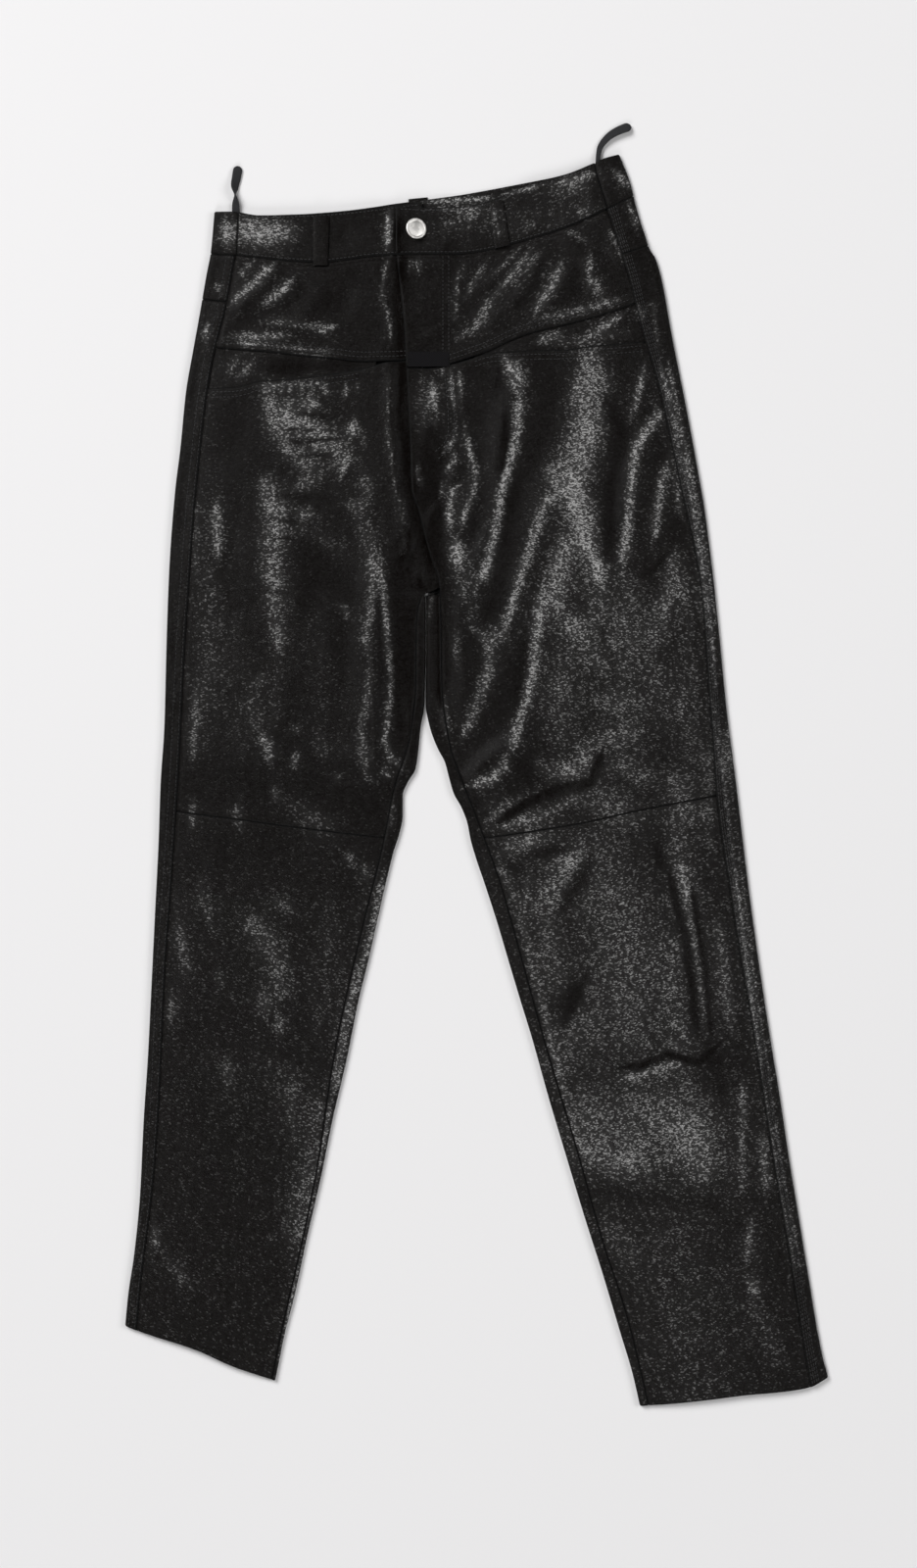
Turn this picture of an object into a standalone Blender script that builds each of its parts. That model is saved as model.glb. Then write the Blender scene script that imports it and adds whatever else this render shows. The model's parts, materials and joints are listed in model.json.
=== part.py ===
"""Leather trousers laid flat, front side up.

Right and left are the wearer's, so the right leg lies at -X. +Y runs towards the waist and +Z up
from the surface. The sizes and tables are in millimetres. Each panel is a leather wall between its
own seam lines: the back panels lie on the surface and wrap round the folded edges as far as the
side seam and the inside seam, and the front panels close the top.
"""

import math

import bmesh
import bpy
import numpy as np

MM = 0.001

WALL = 1.2  # leather
TAPE_WALL = 1.6  # doubled hanger tape
SEAM_GAP = 0.3  # between two pieces sewn edge to edge
LAYER_STEP = 1.9  # a tucked layer lies this far below the one that covers it
FOLD_RADIUS = 2.3  # folded edges, seen from above
EDGE_HEIGHT = 4.8  # top of the cloth at the folded edges
CROWN = 1.6  # how much higher the cloth lies away from its edges
CROWN_REACH = 20.0  # distance over which the crown rises
FOLD_FADE = 10.0  # folds die out this near an edge
CENTRE_REACH = 60.0  # above the crotch the legs have no inner edge
CENTRE_LOW, CENTRE_HIGH = 100.0, 180.0  # heights between which that edge fades
TUCK_SLOPE = 12.0  # width over which the right front sinks under the fly
TUCK_AHEAD = 6.0  # it has sunk this far before the fly's edge
TAIL = 14.0  # strip of back leather beside the centre-back seam that becomes the inside fold
LINE_POINTS = 80  # samples along a seam line
STEP = 1e-3  # step of the finite differences that give the normals
UPRIGHT = 0.8  # a wall whose normal is nearer to the vertical is measured straight down
CROSSING_ROUNDS = 6  # steps in which the crossing of a row and a seam settles
SHORT_ROW = 0.03  # a row of leather this near to a seam is left out

# Folded edges, seen from above: height y, place x.
RIGHT_OUTER = [
    (461, -219.3), (426, -222.6), (409, -225.9), (376, -231.6), (344, -237.4), (311, -243.1),
    (262, -248.0), (229, -252.1), (163, -257.1), (98, -259.5), (32, -261.2), (-17, -264.4),
    (-66, -266.1), (-116, -268.6), (-181, -271.8), (-247, -275.1), (-296, -278.4),
    (-362, -281.7), (-411, -286.6), (-444, -291.5), (-470, -294.0),
]
LEFT_OUTER = [
    (509, 119.3), (485, 128.5), (469, 132.4), (457, 135.7), (442, 140.6), (430, 144.7),
    (422, 149.6), (401, 155.4), (360, 162.8), (327, 169.3), (294, 175.9), (245, 184.9),
    (212, 190.6), (180, 194.8), (147, 198.8), (98, 203.8), (48, 208.7), (-17, 216.9),
    (-58, 221.8), (-99, 226.7), (-148, 233.3), (-230, 245.6), (-280, 253.8), (-329, 261.2),
    (-378, 269.4), (-427, 277.6), (-493, 289.0), (-513, 294.0),
]
# Above the crotch these follow the centre-back seam.
RIGHT_INNER = [
    (471, -48.8), (425, -48.8), (368, -46.3), (180, -43.0), (141, -42.6), (98, -42.6),
    (48, -43.9), (28, -47.1), (7, -49.2), (-5, -51.2), (-16, -57.8), (-27, -61.9),
    (-44, -61.9), (-58, -64.4), (-73, -69.3), (-96, -75.0), (-132, -83.2), (-165, -90.6),
    (-198, -98.8), (-247, -108.6), (-296, -120.1), (-345, -130.0), (-394, -141.4),
    (-444, -152.1), (-476, -160.3), (-516, -168.5),
]
LEFT_INNER = [
    (471, -48.8), (425, -48.8), (368, -46.3), (180, -42.6), (141, -42.1), (98, -42.1),
    (48, -42.6), (36, -40.6), (24, -37.3), (12, -32.4), (1, -26.6), (-11, -23.4),
    (-25, -19.3), (-37, -12.7), (-50, -7.8), (-63, -5.3), (-80, -0.4), (-99, 6.1),
    (-132, 16.8), (-165, 26.6), (-198, 36.5), (-230, 46.3), (-280, 60.3), (-329, 75.0),
    (-378, 89.8), (-427, 105.4), (-476, 120.1), (-509, 130.0), (-537, 136.5),
]

# Matching heights on the two edges of a leg: outer y, inner y, rows of leather down to the next.
RIGHT_STATIONS = [
    (426, 425, 3),  # waist seam
    (388, 368, 11),  # back yoke seam
    (150, 144, 2),  # crotch
    (145, 139, 5),  # top of the inside seam
    (30, 30, 7),  # where the legs part
    (-40, -63, 20),  # knee
    (-470, -516, 0),  # hem
]
LEFT_STATIONS = [
    (474, 425, 3),
    (433, 368, 11),
    (150, 144, 2),
    (145, 139, 5),
    (34, 40, 7),
    (-25, -62, 20),
    (-513, -537, 0),
]
YOKE_STATION, CROTCH_STATION, INSEAM_STATION, HEM_STATION = 1, 2, 3, 6

# Side seams and inside seams on the top: height y, place x.
RIGHT_SIDE_SEAM = [
    (461, -199.7), (430, -201.3), (424, -202.1), (401, -205.8), (376, -210.7), (360, -215.0),
    (335, -221.0), (294, -227.3), (262, -230.8), (212, -235.8), (147, -240.5), (97, -243.9),
    (47, -246.4), (-4, -248.9), (-54, -252.1), (-116, -256.2), (-167, -260.0), (-217, -262.4),
    (-267, -264.6), (-334, -268.8), (-397, -275.9), (-424, -279.4), (-470, -284.1),
]
LEFT_SIDE_SEAM = [
    (501, 98.0), (465, 109.5), (442, 116.0), (421, 122.5), (401, 128.3), (376, 134.4),
    (360, 138.8), (330, 148.0), (293, 157.0), (255, 165.0), (217, 173.4), (180, 181.6),
    (143, 187.5), (65, 193.5), (35, 195.8), (-27, 200.4), (-58, 204.0), (-99, 210.3),
    (-148, 217.7), (-181, 223.4), (-214, 229.0), (-263, 237.0), (-321, 246.0), (-394, 258.5),
    (-427, 264.2), (-493, 275.1), (-513, 278.8),
]
RIGHT_INSIDE_SEAM = [
    (144, -45.6), (139, -46.2), (129, -49.2), (110, -50.4), (65, -50.8), (28, -54.5),
    (3, -61.0), (-13, -66.5), (-30, -71.0), (-50, -74.8), (-73, -79.4), (-96, -85.0),
    (-132, -94.0), (-181, -105.8), (-230, -116.4), (-263, -122.2), (-296, -127.0),
    (-329, -131.8), (-394, -144.6), (-476, -163.4), (-516, -171.5),
]
LEFT_INSIDE_SEAM = [
    (144, -30.8), (139, -30.6), (114, -30.0), (65, -29.2), (16, -22.6), (-9, -14.5),
    (-27, -7.4), (-46, 0.0), (-62, 6.1), (-102, 20.2), (-158, 36.0), (-218, 52.6),
    (-260, 64.8), (-321, 83.2), (-407, 107.6), (-442, 119.5), (-470, 127.8), (-512, 138.0),
    (-537, 143.9),
]

# Lines across the garment: place x, height y.
WAIST_SEAM = [
    (-222.6, 426), (-206, 424.8), (-184, 422.3), (-153, 419.2), (-130, 418.3), (-112, 419.9),
    (-92, 422.8), (-70, 424.5), (-45, 424.9), (-20, 424.9), (-5, 426), (13, 429.2),
    (28, 433), (44, 437.7), (60.5, 442.6), (77, 448.1), (93, 455), (109, 463.2), (120, 468.8),
    (131.2, 474),
]
BACK_TOP = [
    (-219.3, 461), (-205, 461), (-182, 458), (-153, 459), (-112, 462), (-67, 468), (-22, 474),
    (44, 486), (77, 493), (93, 498), (105, 505), (119.3, 509),
]
LEFT_FRONT_TOP = [
    (-67.6, 465), (-38, 463.5), (-14, 464), (11, 469), (28, 476), (48, 484), (77, 491.6),
    (98, 500),
]
RIGHT_YOKE_SEAM = [
    (-217, 347), (-194, 345), (-169, 343), (-145, 340), (-120, 338), (-96, 336), (-71, 338),
    (-48, 338),
]
LEFT_YOKE_SEAM = [
    (-60, 331), (-40, 331), (-23, 333.7), (-9, 338), (11, 345), (28, 353), (44, 359),
    (77, 367), (110, 376), (132, 384),
]
RIGHT_POCKET_LIP = [
    (-224, 314), (-206, 314), (-190, 316.5), (-184, 319), (-153, 321.4), (-120, 325.5),
    (-104, 328), (-87, 332), (-75, 335.4), (-48, 337.4),
]
LEFT_POCKET_LIP = [
    (-60, 330.4), (-40, 330.4), (-23, 333), (-5, 338), (11, 342.8), (44, 344.8), (77, 346),
    (93, 348.5), (110, 350), (140, 352.6),
]
RIGHT_KNEE_SEAM = [
    (-250, -40), (-241, -41.5), (-196, -47.2), (-164, -51.6), (-117, -57.6), (-95, -60.2),
    (-73, -62.4),
]
LEFT_KNEE_SEAM = [(6, -62.5), (14, -61.5), (88, -50), (128, -41), (200, -27)]
RIGHT_HEM = [(-294, -470), (-284, -474), (-235, -490), (-206, -503), (-168.5, -516)]
LEFT_HEM = [
    (136.5, -537), (159, -535.5), (192, -532), (224, -528), (257, -525), (278, -521.5),
    (294, -513),
]

# Centre-front edges: height y, place x. The left front covers the right one down to the crotch.
FLY_EDGE = [
    (470, -67.6), (426, -66.8), (393, -63.5), (360, -60.3), (327, -58.6), (294, -57.0),
    (262, -55.3), (229, -54.5), (212, -48.8), (192, -43.9), (171, -38.1), (155, -32.4),
    (144, -30.7), (139, -30.4),
]
TUCKED_EDGE = [
    (426, -56.0), (393, -53.0), (327, -48.5), (229, -44.0), (192, -36.5), (171, -31.5),
    (160, -28.5), (152, -28.0), (147, -31.0), (143.5, -38.0), (142, -43.0),
]

# The largest folds: from x, y, to x, y, bow to the left of the way there, width, height.
FOLDS = [
    (-165, 419, -209, 376, 2, 9, 1.6),  # right yoke
    (-149, 409, -184, 380, 0, 8, 1.4),
    (-184, 371, -116, 364, 2, 8, 1.2),
    (60, 438, -5, 356, 4, 8, 2.0),  # left yoke
    (78, 424, 44, 372, 3, 8, 1.6),
    (97, 434, 91, 393, -5, 9, 1.2),
    (-153, 318, -153, 246, 3, 22, 1.6),  # right thigh
    (-171, 229, -167, 114, 4, 14, 1.2),
    (-88, 196, -83, -14, -6, 9, 2.2),
    (-128, 12, -55, -18, 5, 9, 1.9),
    (32, 337, 15, 196, -8, 10, 2.0),  # left thigh
    (17, 205, -17, 139, -4, 9, 1.7),
    (93, 335, 21, 114, -9, 16, 2.0),
    (85, 286, 103, 139, 6, 13, 1.4),
    (150, 298, 119, 188, -6, 9, 1.7),
    (-15, 237, -21, 147, -3, 8, 1.5),
    (-18, 130, -13, 32, 2, 7, 1.9),
    (-18, -20, 48, 32, 6, 8, 2.3),  # left knee
    (-7, -43, 48, -24, 4, 8, 1.7),
    (11, -46, 105, 7, -6, 9, -1.4),
    (160, -83, 185, -230, 3, 10, -1.6),  # left shin
    (180, -102, 196, -230, 2, 8, -1.2),
    (96, -300, 196, -300, 6, 26, 1.5),
    (-173, -140, -173, -230, 3, 15, 1.5),  # right shin
    (-128, -99, -153, -345, 4, 15, -1.0),
]

# Right to left, top to bottom: x, y of the corners of what is sewn on.
RIGHT_LOOP = [(-136.5, 457), (-123.4, 457), (-136.5, 415.7), (-124.6, 415.7)]
LEFT_LOOP = [(10.5, 468), (21.7, 470.5), (15.2, 430), (27.5, 433)]
BACK_LOOP = [(-57.0, 474.5), (-41.0, 475.5), (-57.0, 429), (-41.0, 429)]
LABEL_TAB = [(-58.2, 343.6), (-23.4, 343.6), (-57.2, 331.3), (-23.4, 331.3)]
LABEL_WALL = 1.0
BACK_LOOP_WALL = 1.1
BACK_LOOP_LIFT = 1.4  # the band lies on this loop
BACK_LOOP_MARGIN = 12.0  # as far as this beside it
BACK_LOOP_EASE = 14.0  # and comes down to the surface over this distance

POCKET_UNDERLAP = 10.0  # facing hidden below the pocket's lip
FACING_TOP_LAP = 6.0  # facing hidden above the yoke seam
RIGHT_FACING_END, LEFT_FACING_END = -84.0, -2.0
BUTTON_LAP = 22.0  # right band under the button end
BUTTON_LAP_DROP = 2.0  # its end lies this much lower than the back band's top

# Cells of leather: across a front, and along a wrapped panel on a strip, a fold and the surface.
YOKE_COLUMNS, THIGH_COLUMNS, SHIN_COLUMNS, FACING_COLUMNS, FACING_ROWS = 18, 20, 12, 12, 3
BAND_ROWS, BAND_FRONT_COLUMNS = 3, 16
BACK_YOKE_CELLS, BACK_LEG_CELLS, BAND_CELLS = (2, 4, 14), (2, 4, 4), (2, 4, 26)

BUTTON_PLACE = (-51.2, 445.7)
BUTTON_TILT = math.radians(20)
BUTTON_TILT_HEADING = math.radians(20)
BUTTON_SIDES = 32
# Half outline of the button from its crown to its shank: radius, height.
BUTTON_OUTLINE = [
    (3.0, 3.55), (6.2, 3.35), (7.4, 3.0), (7.9, 3.15), (8.5, 2.95), (8.8, 2.4), (8.4, 1.8),
    (3.0, 1.5), (3.0, 0.0),
]
BUTTON_CROWN = 3.6

# Hanger tapes: centre x, y, lowest height, width, twist in degrees.
RIGHT_HANGER = [
    (-201.3, 447, 1.6, 6.5, 0), (-201.3, 458, 1.6, 6.5, 0), (-201.5, 467, 0.9, 6.5, 25),
    (-201.9, 474.5, 0.4, 6.8, 82), (-202.2, 482, 0.4, 7.2, 140), (-200.8, 491, 0.4, 7.6, 170),
    (-199.4, 499.5, 0.4, 7.8, 180),
]
LEFT_HANGER = [
    (103.5, 490, 1.7, 3.6, 0), (101.2, 501, 1.7, 3.6, 0), (102.6, 513, 0.7, 4.6, 15),
    (108.6, 522.3, 0.4, 6.6, 30), (117.7, 528.5, 0.4, 8.2, 30), (129, 532.9, 0.4, 9.0, 25),
]
HANGER_ROWS = 18


def smooth(rows, at):
    """Value at each station of a Hermite curve through rows of (station, value).

    Its slope in a row is the harmonic mean of the slopes beside it, or level at a peak or a dip,
    so that it never overshoots.
    """
    rows = np.array(sorted(rows), float)
    station, value = rows[:, 0], rows[:, 1]
    steep = np.diff(value) / np.diff(station)
    product, total = steep[:-1] * steep[1:], steep[:-1] + steep[1:]
    rising = product > 0
    mean = np.where(rising, 2 * product / np.where(rising, total, 1), 0)
    slope = np.concatenate([steep[:1], mean, steep[-1:]])
    at = np.clip(at, station[0], station[-1])
    i = np.clip(np.searchsorted(station, at) - 1, 0, len(rows) - 2)
    span = station[i + 1] - station[i]
    t = (at - station[i]) / span
    start = (1 + 2 * t) * (1 - t) ** 2 * value[i] + t * (1 - t) ** 2 * span * slope[i]
    end = t * t * (3 - 2 * t) * value[i + 1] - t * t * (1 - t) * span * slope[i + 1]
    return start + end


def ease(t):
    """0 below 0 and 1 above 1, with a smooth rise between."""
    t = np.clip(t, 0, 1)
    return t * t * (3 - 2 * t)


def across(rows, x_from, x_to):
    """Points of a line given as (x, y) rows, from one x to another."""
    x = np.linspace(x_from, x_to, LINE_POINTS)
    return np.stack([x, smooth(rows, x)], axis=1)


def down(rows, y_from, y_to):
    """Points of a line given as (y, x) rows, from one height to another."""
    y = np.linspace(y_from, y_to, LINE_POINTS)
    return np.stack([smooth(rows, y), y], axis=1)


def along(line, t):
    """Points of a line at the shares t of its length."""
    length = np.concatenate([[0], np.cumsum(np.linalg.norm(np.diff(line, axis=0), axis=1))])
    return np.stack([np.interp(t * length[-1], length, line[:, k]) for k in (0, 1)], axis=-1)


def by_point(line, t):
    """Points of a line at the shares t of its number of points."""
    at, points = t * (len(line) - 1), np.arange(len(line))
    return np.stack([np.interp(at, points, line[:, k]) for k in (0, 1)], axis=-1)


def crossings(ends, seams):
    """How far in from each end of a row it meets the seam of (y, x) rows beside that end."""
    found = []
    for (near, far), seam in zip((ends, ends[::-1]), seams):
        reach = far - near
        share = np.zeros(near.shape[:-1])
        for _ in range(CROSSING_ROUNDS):
            share = (smooth(seam, near[..., 1] + share * reach[..., 1]) - near[..., 0]) / reach[..., 0]
        found.append(share * np.linalg.norm(reach, axis=-1))
    return found


def fold_height(x, y):
    """Sum of the folds, each a bowed ridge or trough with a bell section that tapers to its ends."""
    total = np.zeros_like(x)
    for x0, y0, x1, y1, bow, width, rise in FOLDS:
        length = math.hypot(x1 - x0, y1 - y0)
        ahead = ((x - x0) * (x1 - x0) + (y - y0) * (y1 - y0)) / length**2
        ahead = np.clip(ahead, 0, 1)
        aside = ((y - y0) * (x1 - x0) - (x - x0) * (y1 - y0)) / length
        aside = aside - 4 * bow * ahead * (1 - ahead)
        total += rise * np.exp(-((aside / width) ** 2)) * np.sin(math.pi * ahead)
    return total


def edge_distances(x, y):
    """Distance in from the outer fold and from the inner fold of the leg that a point lies on."""
    right_inner, left_inner = smooth(RIGHT_INNER, y), smooth(LEFT_INNER, y)
    on_right = x < (right_inner + left_inner) / 2
    outer = np.where(on_right, x - smooth(RIGHT_OUTER, y), smooth(LEFT_OUTER, y) - x)
    inner = np.where(on_right, right_inner - x, x - left_inner)
    above = ease((y - CENTRE_LOW) / (CENTRE_HIGH - CENTRE_LOW))
    return outer, inner + CENTRE_REACH * above


def band_lift(x, y):
    """Height of the bulge where the band lies on the centre-back loop."""
    left, right, low = BACK_LOOP[0][0], BACK_LOOP[1][0], BACK_LOOP[2][1]
    beside = np.maximum(np.maximum(left - x, x - right), low - y)
    return BACK_LOOP_LIFT * ease(1 - (beside - BACK_LOOP_MARGIN) / BACK_LOOP_EASE)


def height(x, y):
    """Top of the cloth above the surface: folded edge, soft crown and folds."""
    crown, fade = 1.0, 1.0
    for distance in edge_distances(x, y):
        inside = np.maximum(distance - FOLD_RADIUS, 0)
        crown = crown * (1 - np.exp(-((inside / CROWN_REACH) ** 2)))
        fade = fade * (1 - np.exp(-((inside / FOLD_FADE) ** 2)))
    return EDGE_HEIGHT + CROWN * crown + fade * fold_height(x, y) + band_lift(x, y)


def patch(top, bottom, left, right, gap=SEAM_GAP):
    """Plan of a panel between four lines: a Coons patch, half a seam gap inside its sides.

    It is a function of s across and t down, both from 0 to 1. The sides run by their points, of
    which both have the same number, and the top and the bottom by length.
    """
    corners = [left[0], right[0], left[-1], right[-1]]

    def meeting(line, t, start, end):
        """Points of a line, shifted so that its ends are the corners."""
        slide = (1 - t)[..., None] * (start - line[0]) + t[..., None] * (end - line[-1])
        return along(line, t) + slide

    def plan(s, t):
        left_side, right_side = by_point(left, t), by_point(right, t)
        s = s + gap / 2 * (1 - 2 * s) / np.linalg.norm(right_side - left_side, axis=-1)
        a, b = s[..., None], t[..., None]
        sides = (1 - a) * left_side + a * right_side
        ends = (1 - b) * meeting(top, s, corners[0], corners[1])
        ends = ends + b * meeting(bottom, s, corners[2], corners[3])
        flat = (1 - b) * ((1 - a) * corners[0] + a * corners[1])
        flat = flat + b * ((1 - a) * corners[2] + a * corners[3])
        return sides + ends - flat

    return plan


def quad(corners):
    """Four straight lines round a piece given by its corners, as patch takes them."""
    a, b, c, d = (np.array(corner, float) for corner in corners)
    share = np.linspace(0, 1, LINE_POINTS)[:, None]
    pairs = ((a, b), (c, d), (a, c), (b, d))
    return [(1 - share) * start + share * end for start, end in pairs]


def on_top(plan, drop=0.0):
    """Surface of a panel that follows the top of the cloth, drop below it."""

    def surface(s, t):
        place = plan(s, t)
        x, y = place[..., 0], place[..., 1]
        below = drop(x, y) if callable(drop) else drop
        return np.stack([x, y, height(x, y) - below], axis=-1)

    return surface


def under_fly(x, y):
    """How far the right front sinks on its way under the left one."""
    return LAYER_STEP * ease((x + TUCK_AHEAD - smooth(FLY_EDGE, y)) / TUCK_SLOPE + 1)


class Leg:
    """Plan of one leg: rows run from its outer fold to its inner fold or the centre-back seam."""

    def __init__(self, folds, seams, centre, stations, hem):
        self.outer, self.inner = folds
        self.seams, self.centre, self.hem = seams, centre, hem
        self.outer_y, self.inner_y, self.rows = np.array(stations, float).T
        self.last = len(stations) - 1

    def ends(self, v):
        """The outer and the inner end of the rows at stations v."""
        station = np.arange(self.last + 1)
        outer_y, inner_y = (np.interp(v, station, y) for y in (self.outer_y, self.inner_y))
        outer = np.stack([smooth(self.outer, outer_y), outer_y], axis=-1)
        return outer, np.stack([smooth(self.inner, inner_y), inner_y], axis=-1)

    def width(self, v):
        outer, inner = self.ends(v)
        return np.linalg.norm(inner - outer, axis=-1)

    def plan(self, u, v):
        """Point at share u of row v; the first and last rows follow the waist seam and the hem."""
        outer, inner = self.ends(v)
        place = outer + u[..., None] * (inner - outer)
        for rows, nearness in (
            (WAIST_SEAM, np.clip(1 - v, 0, 1) ** 2),
            (self.hem, np.clip(v - self.last + 1, 0, 1) ** 4),
        ):
            x = place[..., 0]
            end = self.ends(0.0 if rows is WAIST_SEAM else float(self.last))
            low, high = sorted(end, key=lambda point: point[0])
            chord = np.interp(x, [low[0], high[0]], [low[1], high[1]])
            place[..., 1] += nearness * (smooth(rows, x) - chord)
        return place

    def insets(self, v):
        """How far in from the outer and the inner fold the seams lie."""
        return crossings(self.ends(v), self.seams)

    def closed(self, v):
        """0 above the crotch, where a row ends at the centre-back seam, and 1 below it."""
        return ease(v - CROTCH_STATION)

    def side(self, v):
        """Points of the side seam."""
        return self.plan(self.insets(v)[0] / self.width(v), v)

    def middle(self, v):
        """Points of the front's centre edge and, below the crotch, of the inside seam."""
        y = self.ends(v)[1][..., 1]
        edge = np.stack([smooth(self.centre, y), y], axis=-1)
        seam = self.plan(1 - self.insets(v)[1] / self.width(v), v)
        return np.where(v[..., None] < INSEAM_STATION, edge, seam)

    def row_stations(self, first, last):
        """Stations of the rows of leather between two seams, half a seam gap inside them."""
        steps = [np.arange(self.rows[i]) / self.rows[i] + i for i in range(first, last)]
        rows = np.concatenate([*steps, [float(last)]])
        rows[0] += SEAM_GAP / 2 / abs(self.outer_y[first + 1] - self.outer_y[first])
        if last < self.last:
            rows[-1] -= SEAM_GAP / 2 / abs(self.outer_y[last] - self.outer_y[last - 1])
        return rows

    def between(self, upper, lower):
        """Plan of a front panel between two lines of (x, y) rows, and its rows of leather.

        Its sides have their points in the rows of the back leg, so that both share their seams.
        """
        stations = np.linspace(0, self.last, self.last * LINE_POINTS + 1)
        sides, spans = (self.side, self.middle), []
        for side in sides:
            line = side(stations)
            spans.append([np.interp(0, smooth(rows, line[:, 0]) - shift - line[:, 1], stations)
                          for rows, shift in ((upper, SEAM_GAP / 2), (lower, -SEAM_GAP / 2))])
        (outer_from, outer_to), (inner_from, inner_to) = spans
        rows = self.row_stations(0, self.last)
        kept = rows > max(outer_from, inner_from) + SHORT_ROW
        rows = rows[kept & (rows < min(outer_to, inner_to) - SHORT_ROW)]
        lines = [side(np.concatenate([[span[0]], rows, [span[1]]]))
                 for side, span in zip(sides, spans)]
        top = across(upper, lines[0][0, 0], lines[1][0, 0])
        bottom = across(lower, lines[0][-1, 0], lines[1][-1, 0])
        return patch(top, bottom, *lines), shares(len(rows) + 1)


class Band:
    """Plan of the back waistband: rows run from the right fold to the left fold."""

    def __init__(self):
        top = across(BACK_TOP, BACK_TOP[0][0], BACK_TOP[-1][0])
        bottom = across(WAIST_SEAM, WAIST_SEAM[0][0], WAIST_SEAM[-1][0]) + (0, SEAM_GAP / 2)
        self.folds = (
            down(RIGHT_OUTER, top[0, 1], bottom[0, 1]),
            down(LEFT_OUTER, top[-1, 1], bottom[-1, 1]),
        )
        self.plan = patch(top, bottom, *self.folds, gap=0)

    def ends(self, v):
        return [by_point(fold, v) for fold in self.folds]

    def width(self, v):
        right, left = self.ends(v)
        return np.linalg.norm(left - right, axis=-1)

    def insets(self, v):
        return crossings(self.ends(v), (RIGHT_SIDE_SEAM, LEFT_SIDE_SEAM))

    def closed(self, v):
        return np.ones_like(v)

    def sides(self, v):
        """Points of the right and the left side seam of the band."""
        right, left = (inset / self.width(v) for inset in self.insets(v))
        return self.plan(right, v), self.plan(1 - left, v)


def wrapped(form):
    """Surface of a back panel that wraps round the folds of a Leg or a Band.

    q runs 0 to 1 along the strip on top, to 2 round the outer fold, to 3 along the surface, to 4
    round the inner fold and to 5 along the inner strip on top; v runs down the rows.
    """

    def surface(q, v):
        width, closed = form.width(v), form.closed(v)
        outer, inner = (inset - SEAM_GAP / 2 for inset in form.insets(v))
        phase = [np.clip(q - k, 0, 1) for k in range(5)]
        turn = [math.pi * (0.5 - phase[1]), math.pi * (phase[3] - 0.5)]
        bend = [FOLD_RADIUS * (1 - np.cos(angle)) for angle in turn]
        rise = [(1 + np.sin(angle)) / 2 for angle in turn]
        start = np.where(q < 1, outer + (FOLD_RADIUS - outer) * phase[0], bend[0])
        finish = np.where(q > 4, FOLD_RADIUS + (inner - FOLD_RADIUS) * phase[4], bend[1])
        tail = TAIL + (SEAM_GAP / 2 - TAIL) * (phase[3] + phase[4]) / 2
        finish = closed * np.where(q > 3, finish, FOLD_RADIUS) + (1 - closed) * tail
        flat = FOLD_RADIUS + (width - finish - FOLD_RADIUS) * phase[2]
        distance = np.where(q < 2, start, np.where(q < 3, flat, width - finish))
        place = form.plan(distance / width, v)
        x, y = place[..., 0], place[..., 1]
        lift = np.where(q < 2, rise[0], np.where(q < 3, 0, closed * rise[1]))
        low = band_lift(x, y)
        return np.stack([x, y, low + lift * (height(x, y) - low)], axis=-1)

    return surface


def grid(surface, s, t):
    """Points of a surface on the grid s by t, and the unit normals there."""
    s, t = np.meshgrid(s, t, indexing="ij")
    slope_s = surface(s + STEP, t) - surface(s - STEP, t)
    slope_t = surface(s, t + STEP) - surface(s, t - STEP)
    normal = np.cross(slope_s, slope_t)
    return surface(s, t), normal / np.linalg.norm(normal, axis=-1, keepdims=True)


def shell(near, far):
    """Closed mesh between two grids of points: both sheets and the rim between their borders."""
    rows, columns = near.shape[:2]
    index = np.arange(rows * columns).reshape(rows, columns)
    cells = [index[:-1, :-1], index[1:, :-1], index[1:, 1:], index[:-1, 1:]]
    sheet = np.stack([cell.ravel() for cell in cells], axis=1)
    border = np.concatenate([index[:-1, 0], index[-1, :-1], index[:0:-1, -1], index[0, :0:-1]])
    after = np.roll(border, -1)
    shift = rows * columns
    rim = np.stack([after, border, border + shift, after + shift], axis=1)
    faces = np.concatenate([sheet, sheet[:, ::-1] + shift, rim])
    return np.concatenate([near.reshape(-1, 3), far.reshape(-1, 3)]), faces


def volume(points, faces):
    """Signed volume of a closed mesh of four-sided faces."""
    corners = points[faces]
    halves = ((0, 1, 2), (0, 2, 3))
    return sum(
        np.einsum("ij,ij->", corners[:, a], np.cross(corners[:, b], corners[:, c]))
        for a, b, c in halves
    )


def add_solid(name, points, faces, material):
    """Makes the named object, with its faces pointing out."""
    if volume(points, faces) < 0:
        faces = faces[:, ::-1]
    mesh = bpy.data.meshes.new(name)
    mesh.from_pydata((points * MM).tolist(), [], faces.tolist())
    mesh.shade_smooth()
    mesh.set_sharp_from_angle(angle=math.radians(40))
    mesh.materials.append(material)
    bpy.context.scene.collection.objects.link(bpy.data.objects.new(name, mesh))


def add_panel(name, surface, s, t, material, wall=WALL):
    """Makes a wall under a surface that is seen from above at its first point.

    Where the wall lies flat its thickness is taken straight down, so that its edges stand upright.
    """
    outside, normal = grid(surface, s, t)
    if normal[0, 0, 2] < 0:
        normal = -normal
    level = np.abs(normal[..., 2:]) > UPRIGHT
    down_to = np.array((0, 0, 1)) / np.where(level, normal[..., 2:], 1)
    inside = outside - wall * np.where(level, down_to, normal)
    add_solid(name, *shell(outside, inside), material)


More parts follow.
